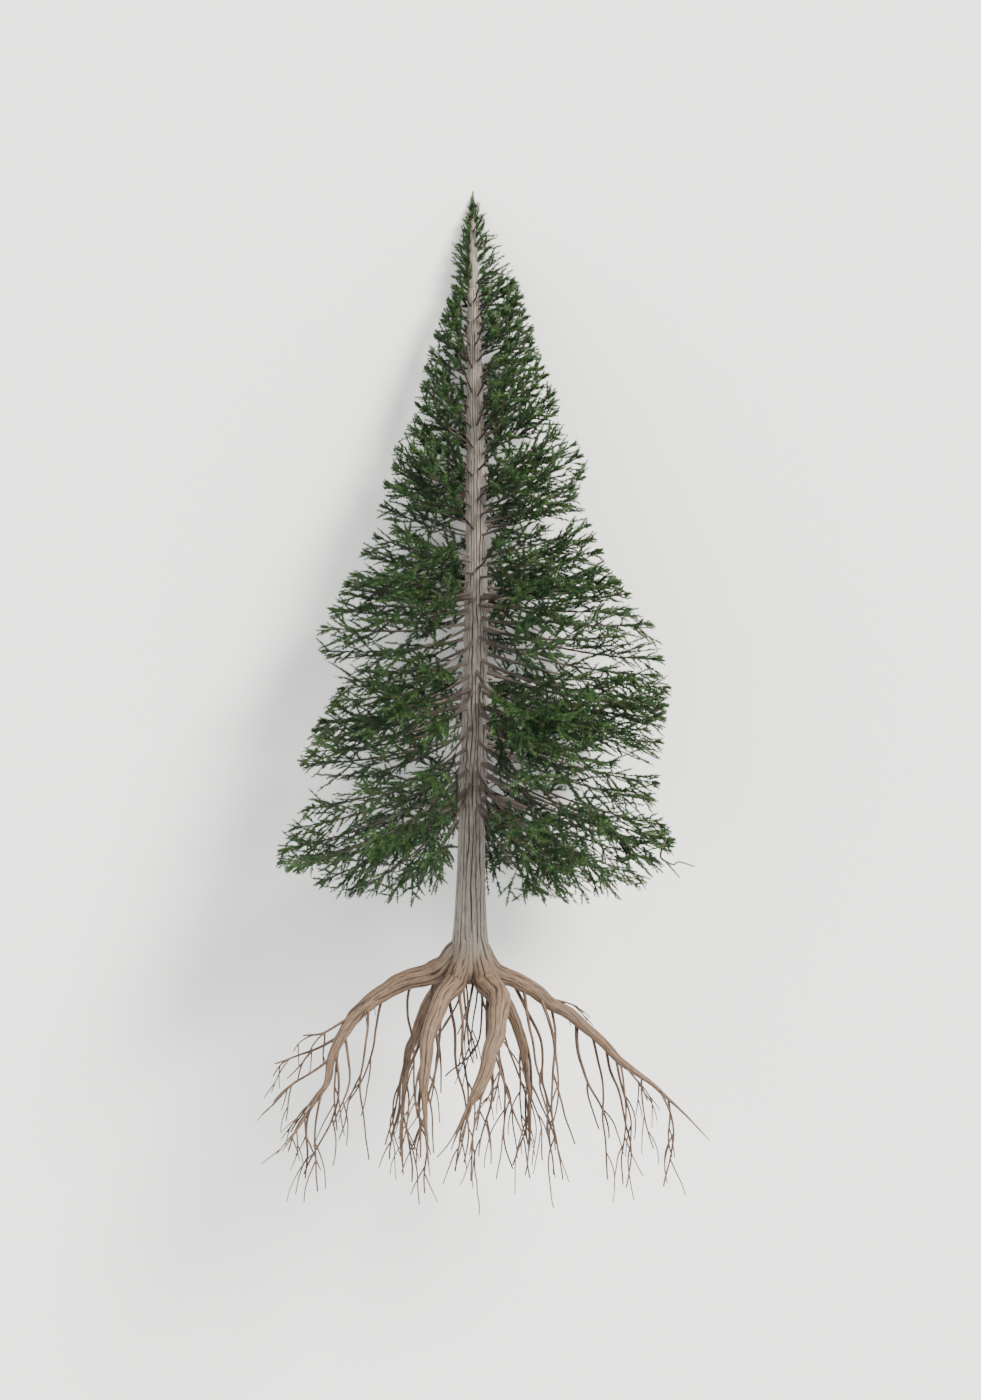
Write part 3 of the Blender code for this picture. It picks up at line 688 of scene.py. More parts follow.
def build_bark_group():
    """Lines in, bark out."""
    inputs = {"Sides": "Int", "Relief": "Float", "Grain": "Float", "Skin": "Material"}
    graph, entry = new_group("bark_on_lines", inputs)
    radius = attribute_wire(graph, "radius")
    lines = graph.add("GeometryNodeMeshToCurve", "Curve", {"Mesh": entry["Geometry"]})
    circle = {"Resolution": entry["Sides"], "Radius": 1.0}
    ring = graph.add("GeometryNodeCurvePrimitiveCircle", "Curve", circle)
    sweep = {"Curve": lines, "Profile Curve": ring, "Scale": radius, "Fill Caps": True}
    skin = graph.add("GeometryNodeCurveToMesh", "Mesh", sweep)
    rough = graph.noise(graph.add("GeometryNodeInputPosition", "Position"), entry["Grain"], 2.0)
    push = (rough - 0.5) * entry["Relief"] * radius
    normal = graph.add("GeometryNodeInputNormal", "Normal")
    skin = change(graph, skin, "SetPosition", Offset=normal * push)
    skin = change(graph, skin, "SetShadeSmooth")
    skin = change(graph, skin, "RealizeInstances")
    skin = change(graph, skin, "SetMaterial", Material=entry["Skin"])
    return close_group(graph, skin)


bark_group = build_bark_group()
print("bark tree has", len(bark_group.nodes), "nodes")

# %% [markdown]
# ## The needle tree
# A fir's needles stand along a shoot like the teeth of two combs, with some more over the top. They
# lean forwards, and more so towards the shoot's end. The tree puts a point every few millimetres
# along each shoot, works out a direction there from the point's number and seeded random values, and
# stands a pair of needles on it. Each pair is also rolled about its own length, because a needle
# twists at its foot, and so some needles show their flat side whichever way one looks. At the end
# the instances become real faces, and each needle takes the green that its shoot was dealt.

# %% Geometry Nodes for needles
NEEDLE_LENGTH = 0.038
NEEDLE_WIDTH = 0.0105
NEEDLE_LIFT = (-62.0, 88.0)
NEEDLE_SWAY = (-9.0, 9.0)
NEEDLE_SIZE = (0.78, 1.12)
NEEDLE_ROLL = (-80.0, 80.0)
LEAN_LESS_AT_END = 0.65
SHORTER_AT_END = 0.35

# How far each needle of a pair turns aside and lifts, in degrees, and its length
NEEDLE_PAIR = ((-15, 0, 1.0), (16, 16, 0.88))


def needle_shape():
    """Two flat pointed needles that share a foot. The longer one has a length of 1."""
    points, faces = [], []
    side = Vector((NEEDLE_WIDTH / NEEDLE_LENGTH / 2, 0, 0))
    for aside, lift, size in NEEDLE_PAIR:
        tip = Vector((math.tan(math.radians(aside)), math.tan(math.radians(lift)), 1)).normalized() * size
        faces.append(tuple(range(len(points), len(points) + 3)))
        points += [-side, side, tip]
    return mesh_object("needle_shape", points, faces=faces)


def build_needle_group(materials):
    """Shoot lines in, needles out."""
    inputs = {"Needle": "Object", "Step": "Float", "Length": "Float", "Lean": "Float", "Seed": "Int"}
    graph, entry = new_group("needles_on_shoots", inputs)

    def between(first, second, angle):
        """The direction at an angle in degrees from first towards second."""
        angle = angle * math.radians(1)
        return first * graph.maths("COSINE", angle) + second * graph.maths("SINE", angle)

    lines = graph.add("GeometryNodeMeshToCurve", "Curve", {"Mesh": entry["Geometry"]})
    cut = {"Curve": lines, "Length": entry["Step"]}
    points = graph.add("GeometryNodeResampleCurve", "Curve", cut, mode="LENGTH")
    tangent = graph.add("GeometryNodeInputTangent", "Tangent")
    up = attribute_wire(graph, "side_up", "FLOAT_VECTOR")
    across = graph.maths("NORMALIZE", graph.maths("CROSS_PRODUCT", tangent, up))
    over = graph.maths("CROSS_PRODUCT", across, tangent)
    parity = graph.maths("MODULO", graph.add("GeometryNodeInputIndex", "Index"), 2.0) * 2.0 - 1.0
    chance = []
    for k, (low, high) in enumerate((NEEDLE_LIFT, NEEDLE_SWAY, NEEDLE_SIZE, NEEDLE_ROLL)):
        inputs = {"Min": low, "Max": high, "Seed": entry["Seed"] + float(k)}
        chance.append(graph.add("FunctionNodeRandomValue", "Value", inputs, data_type="FLOAT"))
    lift, sway, size, roll = chance
    share = graph.add("GeometryNodeSplineParameter", "Factor")
    lean = entry["Lean"] * (1 - share**4.0 * LEAN_LESS_AT_END) + sway
    way = between(tangent, between(across * parity, over, lift), lean)
    stand = graph.add(
        "FunctionNodeAxesToRotation",
        "Rotation",
        {"Primary Axis": way, "Secondary Axis": between(over, across, roll)},
        primary_axis="Z",
        secondary_axis="Y",
    )
    shape = graph.add("GeometryNodeObjectInfo", "Geometry", {"Object": entry["Needle"]})
    scale = entry["Length"] * size * (1 - share**3.0 * SHORTER_AT_END)
    inputs = {"Points": points, "Instance": shape, "Rotation": stand, "Scale": scale}
    needles = graph.add("GeometryNodeInstanceOnPoints", "Instances", inputs)
    needles = change(graph, needles, "RealizeInstances")
    tint = attribute_wire(graph, "tint")
    for k, material in enumerate(materials):
        inputs = {"A": tint, "B": float(k), "Epsilon": 0.4}
        dealt = graph.add("FunctionNodeCompare", "Result", inputs, data_type="FLOAT", operation="EQUAL")
        needles = change(graph, needles, "SetMaterial", Selection=dealt, Material=material)
    return close_group(graph, needles)


needle = needle_shape()
needle_group = build_needle_group(needle_materials)
print("needle tree has", len(needle_group.nodes), "nodes")

# %% [markdown]
# ## Growing the crown
# Every sector of a tier has at most one bough in the solid model. The real tree has more of them, a
# whorl for each year, so each sector here gets from six to sixteen, fanned from the tier's floor to
# its ceiling. From each bough twigs leave to both sides at an open angle, long near the trunk and
# short near the tip. Shoots leave the twigs in the same way, and needles clothe the shoots. A twig
# or a shoot that would leave the mass's room is shortened, and skipped if even that doesn't help.
# Below the lowest boughs the crown is hollow near the trunk, where it is too dark for needles.

# %% Twigs and shoots
TWIG_STEP = 0.165
LONG_BOUGH = 1.5
CLOSEST = 0.62
TWIG_SHARE = 0.55
TWIG_LEAST = 0.17
TWIG_LONGEST = 0.80
TWIG_ANGLE = (56.0, 44.0)
TWIG_ROLL = (40.0, 62.0)
TWIG_CROWDING = 0.66
TWIG_RADIUS = 0.0052
TWIG_TRIES = (1.0, 0.72, 0.5)
TWIG_CURL = (0.14, 0.03)
TWIG_SIZES = (0.8, 1.15)
SHOOT_STEP = 0.110
SHOOT_LENGTH = 0.190
SHOOT_LEAST = 0.120
SHOOT_ANGLE = 42.0
SHOOT_ROLL = 46.0
SHOOT_RADIUS = 0.0024
SHOOT_BEND = (-0.03, 0.04)
SHOOT_SIZES = (0.85, 1.2)
ANGLE_PLAY = (-8, 8)
OLD_SHARE = 0.05
OLD_TINT = len(NEEDLE_TINTS) - 1
LEAFY_TWIG = 0.25
LEAFY_BOUGH = 0.55
TINT_FROM = 0.35
TINT_RISE = 2.5
TINT_PLAY = 0.75
END_SHOOTS = (-50, -22, 0, 22, 50)
END_ROLL = 30
SPRAY_LENGTH = 0.50
SPRAY_MOST = 0.6
SPRAY_STEP = 0.060
SPRAY_ANGLE_PLAY = (-8, 12)
SPRAY_ROLL = 34
SPRAY_SIZES = (0.9, 1.25)

# How long each try makes a shoot that doesn't fit, and how far forwards it steers the shoot
SHOOT_TRIES = ((1.0, 0.0), (0.85, 0.8), (0.65, 0.0), (0.6, 1.5), (0.4, 0.5))


def turned(ahead, across, over, angle, roll):
    """A direction that leaves ahead at an angle, to the side of across, rolled towards over."""
    aside = across * math.cos(math.radians(roll)) + over * math.sin(math.radians(roll))
    return ahead * math.cos(math.radians(angle)) + aside * math.sin(math.radians(angle))


def tint_for(share, rng):
    """A green by where a shoot grows: brighter near the crown's edge, dull near the trunk."""
    if rng.random() < OLD_SHARE:
        return OLD_TINT
    return min(max(int(rng.gauss(TINT_FROM + TINT_RISE * share, TINT_PLAY) + 0.5), 0), OLD_TINT - 1)


def to_side(across, right):
    """The direction to the right side of a limb, or to its left side."""
    return across if right else -across


class Mass:
    """The shoots of one mass of foliage, and the twigs that it adds to those of its tier."""

    def __init__(self, space, wood, rng, droop=0.0):
        self.space = space
        self.wood = wood
        self.rng = rng
        self.droop = droop
        self.shoots = Lines()

    def leave(self, path, share, right, angle, roll):
        """The foot and the way of a limb that leaves a path, and the path's own way and upper side."""
        foot, ahead = along(path, share)
        across, over = level_side(ahead)
        return foot, turned(ahead, to_side(across, right), over, angle, roll), ahead, over

    def add_shoot(self, foot, way, ahead, over, length, share):
        """One leafy shoot, slightly bent. It is steered or shortened where it doesn't fit."""
        for shorter, steer in SHOOT_TRIES:
            reach = length * shorter
            tip = foot + (way + ahead * steer).normalized() * reach
            if self.space.holds(tip):
                break
        else:
            return
        bend = over * (reach * self.rng.uniform(*SHOOT_BEND))
        path = [foot, foot.lerp(tip, 0.5) + bend, tip]
        self.shoots.add(path, [SHOOT_RADIUS] * 3, over, tint_for(share, self.rng))
        self.wood.add([foot, tip], [SHOOT_RADIUS, SHOOT_RADIUS * 0.4])

    def add_leaves(self, path, first, count, over, tint):
        """Needles on a limb itself, from a share of it to its end."""
        leafy = [along(path, share)[0] for share in tapered(first, 1.0, count)]
        self.shoots.add(leafy, [SHOOT_RADIUS] * count, over, tint)

    def add_twig(self, foot, way, ahead, over, length, share):
        """One side twig that bends forwards, with shoots on both its sides and at its end."""
        rng = self.rng
        for shorter in TWIG_TRIES:
            run = length * shorter
            path = [foot]
            step_way = way
            for _ in range(3):
                step_way = (step_way + ahead * TWIG_CURL[0] + over * TWIG_CURL[1]).normalized()
                path.append(path[-1] + step_way * (run / 3))
            if self.space.holds(path[-1]):
                break
        else:
            return
        self.wood.add(path, tapered(TWIG_RADIUS, SHOOT_RADIUS, 4))
        self.add_leaves(path, LEAFY_TWIG, 4, over, tint_for(share, rng))
        across = step_way.cross(over).normalized()
        count = max(int(run / SHOOT_STEP), 1)
        for k in range(count):
            place = (k + 0.6 + 0.3 * rng.random()) / (count + 0.6)
            start, line = along(path, min(place, 0.97))
            size = SHOOT_LEAST + (SHOOT_LENGTH - SHOOT_LEAST) * (1 - place) * 1.5
            size = min(size, SHOOT_LENGTH) * rng.uniform(*SHOOT_SIZES)
            roll = rng.gauss(0, SHOOT_ROLL)
            angle = SHOOT_ANGLE + rng.uniform(*ANGLE_PLAY)
            leave = turned(line, to_side(across, k % 2), over, angle, roll)
            self.add_shoot(start, leave, line, over, size, share + 0.15 * place)
        self.add_shoot(path[-1], step_way, step_way, over, SHOOT_LENGTH * 0.9, share + 0.25)

    def clothe(self, path, bare):
        """Twigs along a bough from where it stops being bare, then shoots round its end and near it."""
        rng = self.rng
        length = path_steps(path)[-1]
        step = TWIG_STEP * (CLOSEST + (1 - CLOSEST) * min(length / LONG_BOUGH, 1.0))
        count = max(int(length * (1 - bare) / step), 3)
        for k in range(count):
            share = bare + (1 - bare) * ((k + 0.5 * rng.random()) / count) ** TWIG_CROWDING
            size = min(length * (1 - share) * TWIG_SHARE + TWIG_LEAST, TWIG_LONGEST)
            roll = rng.gauss(-self.droop, TWIG_ROLL[0] + (TWIG_ROLL[1] - TWIG_ROLL[0]) * share)
            angle = TWIG_ANGLE[0] + (TWIG_ANGLE[1] - TWIG_ANGLE[0]) * share + rng.uniform(*ANGLE_PLAY)
            limb = self.leave(path, share, k % 2, angle, roll)
            self.add_twig(*limb, size * rng.uniform(*TWIG_SIZES), share)
        for aside in END_SHOOTS:
            limb = self.leave(path, 1.0, aside > 0, abs(aside), rng.gauss(-self.droop, END_ROLL))
            self.add_shoot(*limb, SHOOT_LENGTH, 1.0)
        spray = min(SPRAY_LENGTH / length, SPRAY_MOST)
        count = int(spray * length / SPRAY_STEP)
        for k in range(count):
            share = 1 - spray * (k + rng.random()) / count
            angle = SHOOT_ANGLE + rng.uniform(*SPRAY_ANGLE_PLAY)
            limb = self.leave(path, share, k % 2, angle, rng.gauss(-self.droop, SPRAY_ROLL))
            self.add_shoot(*limb, SHOOT_LENGTH * rng.uniform(*SPRAY_SIZES), share)
        self.add_leaves(path, LEAFY_BOUGH, 6, limb[-1], 1)


print("twigs every", TWIG_STEP, "m and shoots every", SHOOT_STEP, "m")

# %% Whorls of boughs
LOWEST_FOOT = 1.56
FULLER_SIDE = 0.9
AZIMUTH_PLAY = 6.0
EDGE_KEEP = 9.0
GOLDEN_SHARE = 0.618
BOUGH_SAG = 0.04
BOUGH_INSET = 0.10
BOUGH_POINTS = 13
FOOT_SINK = 0.6


def above_floor(point, way):
    """The point drawn in along its way where it would reach below the floor."""
    over = FLOOR_SIDE.dot(point) - FLOOR_DISTANCE + SHOOT_MARGIN
    return point - way * (over / FLOOR_SIDE.dot(way)) if over > 0 else point


def bough_path(foot_height, tip_height, azimuth):
    """A bough from inside the trunk's skin to the crown's outline."""
    way = outward(azimuth)
    foot = trunk_centre(foot_height) + way * (trunk_radius(foot_height) * FOOT_SINK)
    tip = above_floor(outline_point(tip_height, azimuth, BOUGH_INSET), way)
    return bent(foot, tip, BOUGH_SAG * (tip - foot).length, BOUGH_POINTS)


def sector_boughs(tier, sector, floor_plane, ceiling_plane, shift, rng):
    """Foot height, tip height and azimuth of each bough of a sector. The first is the thick one."""
    azimuth, first, last = sector
    found = []
    if tier.has_bough:
        heading = azimuth + rng.uniform(-1, 1) * AZIMUTH_PLAY
        found.append((tier.foot + shift / 2, tier.tip + shift / 2, heading))
    lowest = max(floor_plane[0], LOWEST_FOOT) + 0.04
    highest = ceiling_plane[0] - 0.05
    level = (floor_plane[0] + ceiling_plane[0]) / 2
    fuller = (crown_reach(level, azimuth) / crown_reach(level, 180)) ** FULLER_SIDE
    count = round(tier.boughs * fuller) - len(found)
    for k in range(count):
        share = (k + 0.5 + rng.uniform(-0.3, 0.3)) / count
        across = (GOLDEN_SHARE * k + 0.3 + 0.06 * rng.random()) % 1
        heading = first + EDGE_KEEP + (last - first - 2 * EDGE_KEEP) * across
        reach = crown_reach(level, heading)
        low, high = (height + slope * reach for height, slope in (floor_plane, ceiling_plane))
        tip = low + (high - low) * (0.07 + 0.86 * share)
        found.append((lowest + (highest - lowest) * share, tip, heading))
    return found


print("boughs leave the trunk at", LOWEST_FOOT, "m and above")

# %% Grow every mass
BOUGH_RADIUS = 0.038
BOUGH_TIP_RADIUS = 0.005
BOUGH_FLARE = 1.35
SIDE_BOUGH_SHARE = 0.62
BARE_SHARE = 0.06
BARE_LENGTH = 0.08
TIER_CHANGE_GAP = 0.04

boughs = Lines()
tier_wood = {}
masses = {}
bough_feet = []
floors = [(CROWN_FLOOR, 0.0)] * len(SIX_WAYS)
for tier_number, tier in enumerate(TIERS):
    if len(tier.sectors) < len(floors):
        below = TIERS[tier_number - 1]
        floors = [(below.ceiling + TIER_CHANGE_GAP, below.slope)] * len(tier.sectors)
    tier_wood[tier.name] = Lines()
    for i, sector in enumerate(tier.sectors):
        shift = tier.stagger * (1, -1)[i % 2]
        ceiling = (tier.ceiling + shift, tier.slope)
        rng = random.Random(1000 * (tier_number + 1) + sector[0])
        mass = Mass(tier_space(tier, sector, floors[i], ceiling), tier_wood[tier.name], rng, tier.droop)
        grown = sector_boughs(tier, sector, floors[i], ceiling, shift, rng)
        for number, (foot_height, tip_height, heading) in enumerate(grown):
            path = bough_path(foot_height, tip_height, heading)
            length = (path[-1] - path[0]).length
            radius = min(BOUGH_RADIUS, 0.013 + 0.012 * length)
            if number or not tier.has_bough:
                radius *= SIDE_BOUGH_SHARE
            radii = tapered(radius, BOUGH_TIP_RADIUS, BOUGH_POINTS, 0.6)
            boughs.add(path, [radius * BOUGH_FLARE] + radii[1:], last_tint=1.0)
            bough_feet.append((foot_height, heading, radius))
            mass.clothe(path, max(BARE_SHARE, BARE_LENGTH / length))
        masses[f"{tier.name}_{sector[0]:03d}"] = mass
        floors[i] = ceiling
print("boughs:", boughs.count(), "leafy lines:", sum(mass.shoots.count() for mass in masses.values()))

# %% [markdown]
# ## The leading shoot
# Above the last whorl the stem is this year's leader. It is one thin stem with short side shoots
# that rise steeply, so the crown ends in a narrow spire.

# %% Leader
LEADER_TWIGS = 84
LEADER_SPAN = 0.86
LEADER_RISE = 0.16
LEADER_TOP = 7.66
LEADER_RADIUS = 0.006
LEADER_BARE = 7.40
LEADER_BARE_WIDTH = 34
LEADER_TWIG_SHARE = 0.86
GOLDEN_ANGLE = 137.5
CROSS_SHOOTS = 11
CROSS_STEP = 0.036
CROSS_TURN = 52
CROSS_ANGLE = 54
CROSS_LENGTH = 0.13

leader_space = Space()
leader_space.keep_behind(FLOOR_SIDE, FLOOR_DISTANCE)
tier_wood["leader"] = Lines()
leader = masses["leader"] = Mass(leader_space, tier_wood["leader"], random.Random(7))
leader_path = [trunk_centre(TRUNK_TOP - 0.02 + (LEADER_TOP - TRUNK_TOP) * i / 6) for i in range(7)]
leader.wood.add(leader_path, tapered(trunk_radius(TRUNK_TOP), LEADER_RADIUS, 7))
for k in range(LEADER_TWIGS):
    height = TRUNK_TOP - LEADER_RISE + LEADER_SPAN * k / LEADER_TWIGS
    azimuth = GOLDEN_ANGLE * k
    tip_height = min(height + LEADER_RISE + 0.05 * k / LEADER_TWIGS, TREE_HEIGHT - 0.10)
    if height < LEADER_BARE and abs(azimuth % 360 - 270) < LEADER_BARE_WIDTH:
        continue
    foot = trunk_centre(height)
    tip = outline_point(tip_height, azimuth, SHOOT_MARGIN)
    way = (tip - foot).normalized()
    leader.add_twig(foot, way, way, level_side(way)[1], (tip - foot).length * LEADER_TWIG_SHARE, 0.8)
for k in range(CROSS_SHOOTS):
    foot = trunk_centre(LEADER_TOP - CROSS_STEP * k)
    for side in (-1, 1):
        way = turned(UP, outward(CROSS_TURN * k) * side, UP, CROSS_ANGLE, 0)
        leader.add_shoot(foot, way, UP, outward(CROSS_TURN * k + 90), CROSS_LENGTH, 1.0)
top = trunk_centre(TREE_HEIGHT) - trunk_centre(LEADER_TOP)
tip_line = [trunk_centre(LEADER_TOP - 0.05), trunk_centre(LEADER_TOP) + top * 0.4]
tip_line.append(trunk_centre(TREE_HEIGHT - 0.02))
leader.shoots.add(tip_line, [SHOOT_RADIUS] * 3, BACK, 3)
leader.wood.add(tip_line, tapered(LEADER_RADIUS, 0.002, 3))
print("leafy lines of the leader:", leader.shoots.count())

# %% [markdown]
# ## Dead twigs at the lower right
# The lowest bough on the right ends in two thin twigs that lost their needles. They hang down and
# turn outwards at the end, and they are grey, because dead wood loses its bark.

# %% Dead twigs
DEAD_TWIG_BENDS = ((0.0, 0.0), (-0.05, -0.14), (-0.04, -0.21), (0.08, -0.27), (0.13, -0.24), (0.29, -0.29))
DEAD_TWIG_FORK = ((0.0, -0.24), (0.08, -0.33), (0.14, -0.40))
DEAD_TWIG_FOOT = Vector((1.96, 0.0, 1.30))

dead = Lines()
for bends, size in ((DEAD_TWIG_BENDS, 0.015), (DEAD_TWIG_FORK, 0.011)):
    corners = [DEAD_TWIG_FOOT + Vector((out, 0.02 * i, up)) for i, (out, up) in enumerate(bends)]
    path = smooth_path(corners, 22)
    dead.add(path, tapered(size, 0.006, len(path)))
dead_twigs = run_group(dead, bark_group, "dead_twigs", sides=5, relief=0.3, grain=30.0, skin=dead_wood)
dead_twigs.data.transform(lie)
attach(dead_twigs, "root")
print("dead twigs:", dead.count())

# %% [markdown]
# ## Making the crown's meshes
# Now the two node trees run. The boughs of the crown are one piece, the twigs of a tier another, and
# each mass has its needles as a piece of its own, so that no piece grows too heavy.


# %% Dress a finished piece
def keep_piece(piece, nodes):
    """Lays a piece down with the tree, hangs it on the root body, hides the nodes that it stands for and
    counts its triangles.
    """
    piece.data.transform(lie)
    for label in ("radius", "tint", "side_up"):
        if label in piece.data.attributes:
            piece.data.attributes.remove(piece.data.attributes[label])
    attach(piece, "root")
    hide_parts(*nodes)
    piece.data.calc_loop_triangles()
    return len(piece.data.loop_triangles)


# %% Bark and needles of every mass
SEED = 11
BOUGH_LOOK = {"sides": 10, "relief": 0.35, "grain": 14.0, "skin": bough_bark}
TWIG_LOOK = {"sides": 3, "relief": 0.0, "grain": 30.0, "skin": twig_bark}
NEEDLE_LOOK = {"needle": needle, "step": 0.0040, "length": NEEDLE_LENGTH, "lean": 46.0}

bough_nodes = [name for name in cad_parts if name.startswith("bough_")]
crown_boughs = run_group(boughs, bark_group, "crown_boughs", **BOUGH_LOOK)
crown_boughs.data.attributes["tint"].name = "youth"
total = keep_piece(crown_boughs, bough_nodes)
for tier_name, wood in tier_wood.items():
    names = [name for name in masses if name.startswith(tier_name)]
    piece = run_group(wood, bark_group, "twigs_" + tier_name, **TWIG_LOOK)
    total += keep_piece(piece, ["foliage_" + name for name in names])
    for number, name in enumerate(names):
        seed = SEED + 10 * number
        piece = run_group(masses[name].shoots, needle_group, "needles_" + name, seed=seed, **NEEDLE_LOOK)
        total += keep_piece(piece, ["foliage_" + name])
bpy.data.objects.remove(needle, do_unlink=True)
print("triangles in the crown:", total)

# %% [markdown]
# ## The trunk's skin
# The trunk is one tall limb, so its mesh is built ring by ring. Its bark splits lengthwise, and the
# splits wander, fade out and start again, as they do on a real stem. A relief made of real faces
# catches the light from the side, which a painted pattern can't. Around each bough's foot the bark
# swells to a collar, and old stubs on the bare front leave knots.

# %% Skins with relief
SPLIT_WIDTH = 0.42
SPLIT_WAVE = 1.1
EARTH_TOP = 0.50
EARTH_DEEP = -0.10
GRAIN_ROUND = 9
GRAIN_ALONG = 1.1


def fissure_field(count, seed, width=SPLIT_WIDTH):
    """How deep the split is at an angle and a length: count wandering splits around the limb."""

    def depth(angle, length):
        ring = Vector((math.cos(angle), math.sin(angle), 0))
        wander = noise.noise(ring * 1.3 + Vector((seed, 0, length * 1.4)))
        fine = noise.noise(ring * 3.1 + Vector((0, seed, length * 4.5)))
        phase = 0.5 * count * angle + SPLIT_WAVE * (2.2 * wander + 0.7 * fine)
        gap = max(1 - abs(math.sin(phase)) / width, 0.0)
        fade = 0.95 + 1.1 * noise.noise(ring * 4.0 + Vector((seed, seed, length * 2.2)))
        return gap**0.8 * min(max(fade, 0.0), 1.0)

    return depth


def earth_share(z):
    """How much root bark shows at a height: none on the stem, all below the root crown."""
    share = min(max((EARTH_TOP - z) / (EARTH_TOP - EARTH_DEEP), 0.0), 1.0)
    return share * share * (3 - 2 * share)


def skin_limb(name, path, radii, sides, depth, split, extra=None):
    """A closed limb round a path. The splits of its bark are depth deep, and extra adds to a radius."""
    points, grain, crevice, faces = [], [], [], []
    side = Vector((1, 0, 0))
    steps = path_steps(path)
    last = len(path) - 1
    for i, centre in enumerate(path):
        ahead = (path[min(i + 1, last)] - path[max(i - 1, 0)]).normalized()
        side = (side - ahead * side.dot(ahead)).normalized()
        other = ahead.cross(side)
        for k in range(sides):
            angle = math.tau * k / sides
            cleft = split(angle, steps[i])
            radius = radii[i] - depth[i] * cleft
            if extra:
                radius += extra(angle, centre)
            points.append(centre + (math.cos(angle) * side + math.sin(angle) * other) * max(radius, 0.0004))
            ring = radii[i] * GRAIN_ROUND
            grain.append((math.cos(angle) * ring, math.sin(angle) * ring, steps[i] * GRAIN_ALONG))
            # The depth of the split, which also paints shade into the bark's colour
            crevice.append(cleft)
            if i < last:
                a, b = i * sides + k, i * sides + (k + 1) % sides
                faces.append((a, b, b + sides, a + sides))
    for i in (0, last):
        pole = len(points)
        points.append(path[i])
        grain.append((0.0, 0.0, steps[i] * GRAIN_ALONG))
        crevice.append(0.0)
        for k in range(sides):
            a, b = i * sides + k, i * sides + (k + 1) % sides
            faces.append((a, b, pole) if i else (b, a, pole))
    ob = mesh_object(name, points, faces=faces)
    earth = [earth_share(centre.z) for centre in path for _ in range(sides)]
    earth += [earth_share(path[0].z), earth_share(path[-1].z)]
    for label, values in (("crevice", crevice), ("earth", earth), ("grain", grain)):
        carry(ob.data, label, values)
    ob.data.shade_smooth()
    ob.data.materials.append(stem_bark)
    return ob


print("skins are ready")

# %% Trunk
TRUNK_SIDES = 184
TRUNK_RING_STEP = 0.022
TRUNK_SPLITS = 21
TRUNK_SPLIT_WIDTH = 0.52
SPLIT_DEPTH = (0.0160, 0.0060)
COLLAR_REACH = 0.036
KNOTS = 16
KNOT_LOWEST = 0.75
KNOT_SPREAD = 5.6
KNOT_SIDE = (225, 315)
KNOT_RISE = 0.010
FOOT_SHOWN = 0.62
TRUNK_FOOT = -FOOT_DEPTH * FOOT_SHOWN + 0.002

knot_rng = random.Random(5)
collars = [(height, azimuth % 360, radius) for height, azimuth, radius in bough_feet]
for k in range(KNOTS):
    height = KNOT_LOWEST + KNOT_SPREAD * (k + knot_rng.random() * 0.7) / KNOTS
    collars.append((height, knot_rng.uniform(*KNOT_SIDE), KNOT_RISE))


def collar_rise(angle, centre):
    """How far the bark swells round the feet of boughs and round old knots."""
    rise = 0.0
    radius = trunk_radius(centre.z)
    for height, azimuth, most in collars:
        up = centre.z - height
        if abs(up) > 3 * COLLAR_REACH:
            continue
        around = (math.degrees(angle) - azimuth + 180) % 360 - 180
        span = (math.radians(around) * radius) ** 2 + up**2
        rise = max(rise, most * math.exp(-span / (2 * COLLAR_REACH**2)))
    return rise


def make_trunk(name, foot, top):
    """The trunk's skin between two heights."""
    count = int((top - foot) / TRUNK_RING_STEP) + 1
    heights = tapered(foot, top, count)
    path = [trunk_centre(z) for z in heights]
    radii = [trunk_radius(z if z > 0 else z / FOOT_SHOWN) for z in heights]
    deep, shallow = SPLIT_DEPTH
    depth = [shallow + (deep - shallow) * min(r / TRUNK_RADIUS, 1.0) ** 2 for r in radii]
    split = fissure_field(TRUNK_SPLITS, 3.0, TRUNK_SPLIT_WIDTH)
    start = foot - TRUNK_FOOT
    return skin_limb(name, path, radii, TRUNK_SIDES, depth, lambda a, s: split(a, s + start), collar_rise)


trunk = make_trunk("trunk_skin", TRUNK_FOOT, TRUNK_TOP)
leader_stem = make_trunk("leader_skin", TRUNK_TOP - 0.01, LEADER_TOP)
keep_piece(trunk, ["trunk"])
keep_piece(leader_stem, ["foliage_leader"])
print("trunk:", len(trunk.data.vertices), "points")

# %% [markdown]
# ## Roots
# Each root leaves the trunk as a buttress: a ridge that stands out a little from the stem, runs
# down it and turns outwards. Its line is the source's own, with a start higher up on the trunk and
# an end that thins to a point. Root bark is browner and its grain finer than the trunk's.

# %% Root lines
Root = namedtuple("Root", "name azimuth turn start reach depth bend fall thick thin")
ROOTS = (
    Root("left", 180, 0, 0.00, 1.33, 1.10, 1.8, 1.6, 0.118, 0.034),
    Root("front_left", 238, 0, -0.06, 0.78, 1.02, 1.8, 1.6, 0.095, 0.040),
    Root("front_right", 318, -43, -0.07, 0.78, 1.08, 1.8, 1.6, 0.095, 0.042),
    Root("right", 8, -4, 0.01, 1.44, 0.95, 1.1, 1.35, 0.090, 0.036),
    Root("back_right", 66, -12, -0.02, 0.86, 0.95, 1.7, 1.5, 0.100, 0.036),
    Root("back_left", 124, 10, -0.03, 0.84, 1.00, 1.7, 1.5, 0.100, 0.036),
)
ROOT_START = 0.08
ROOT_RINGS = 9
ROOT_WANDER = 0.010

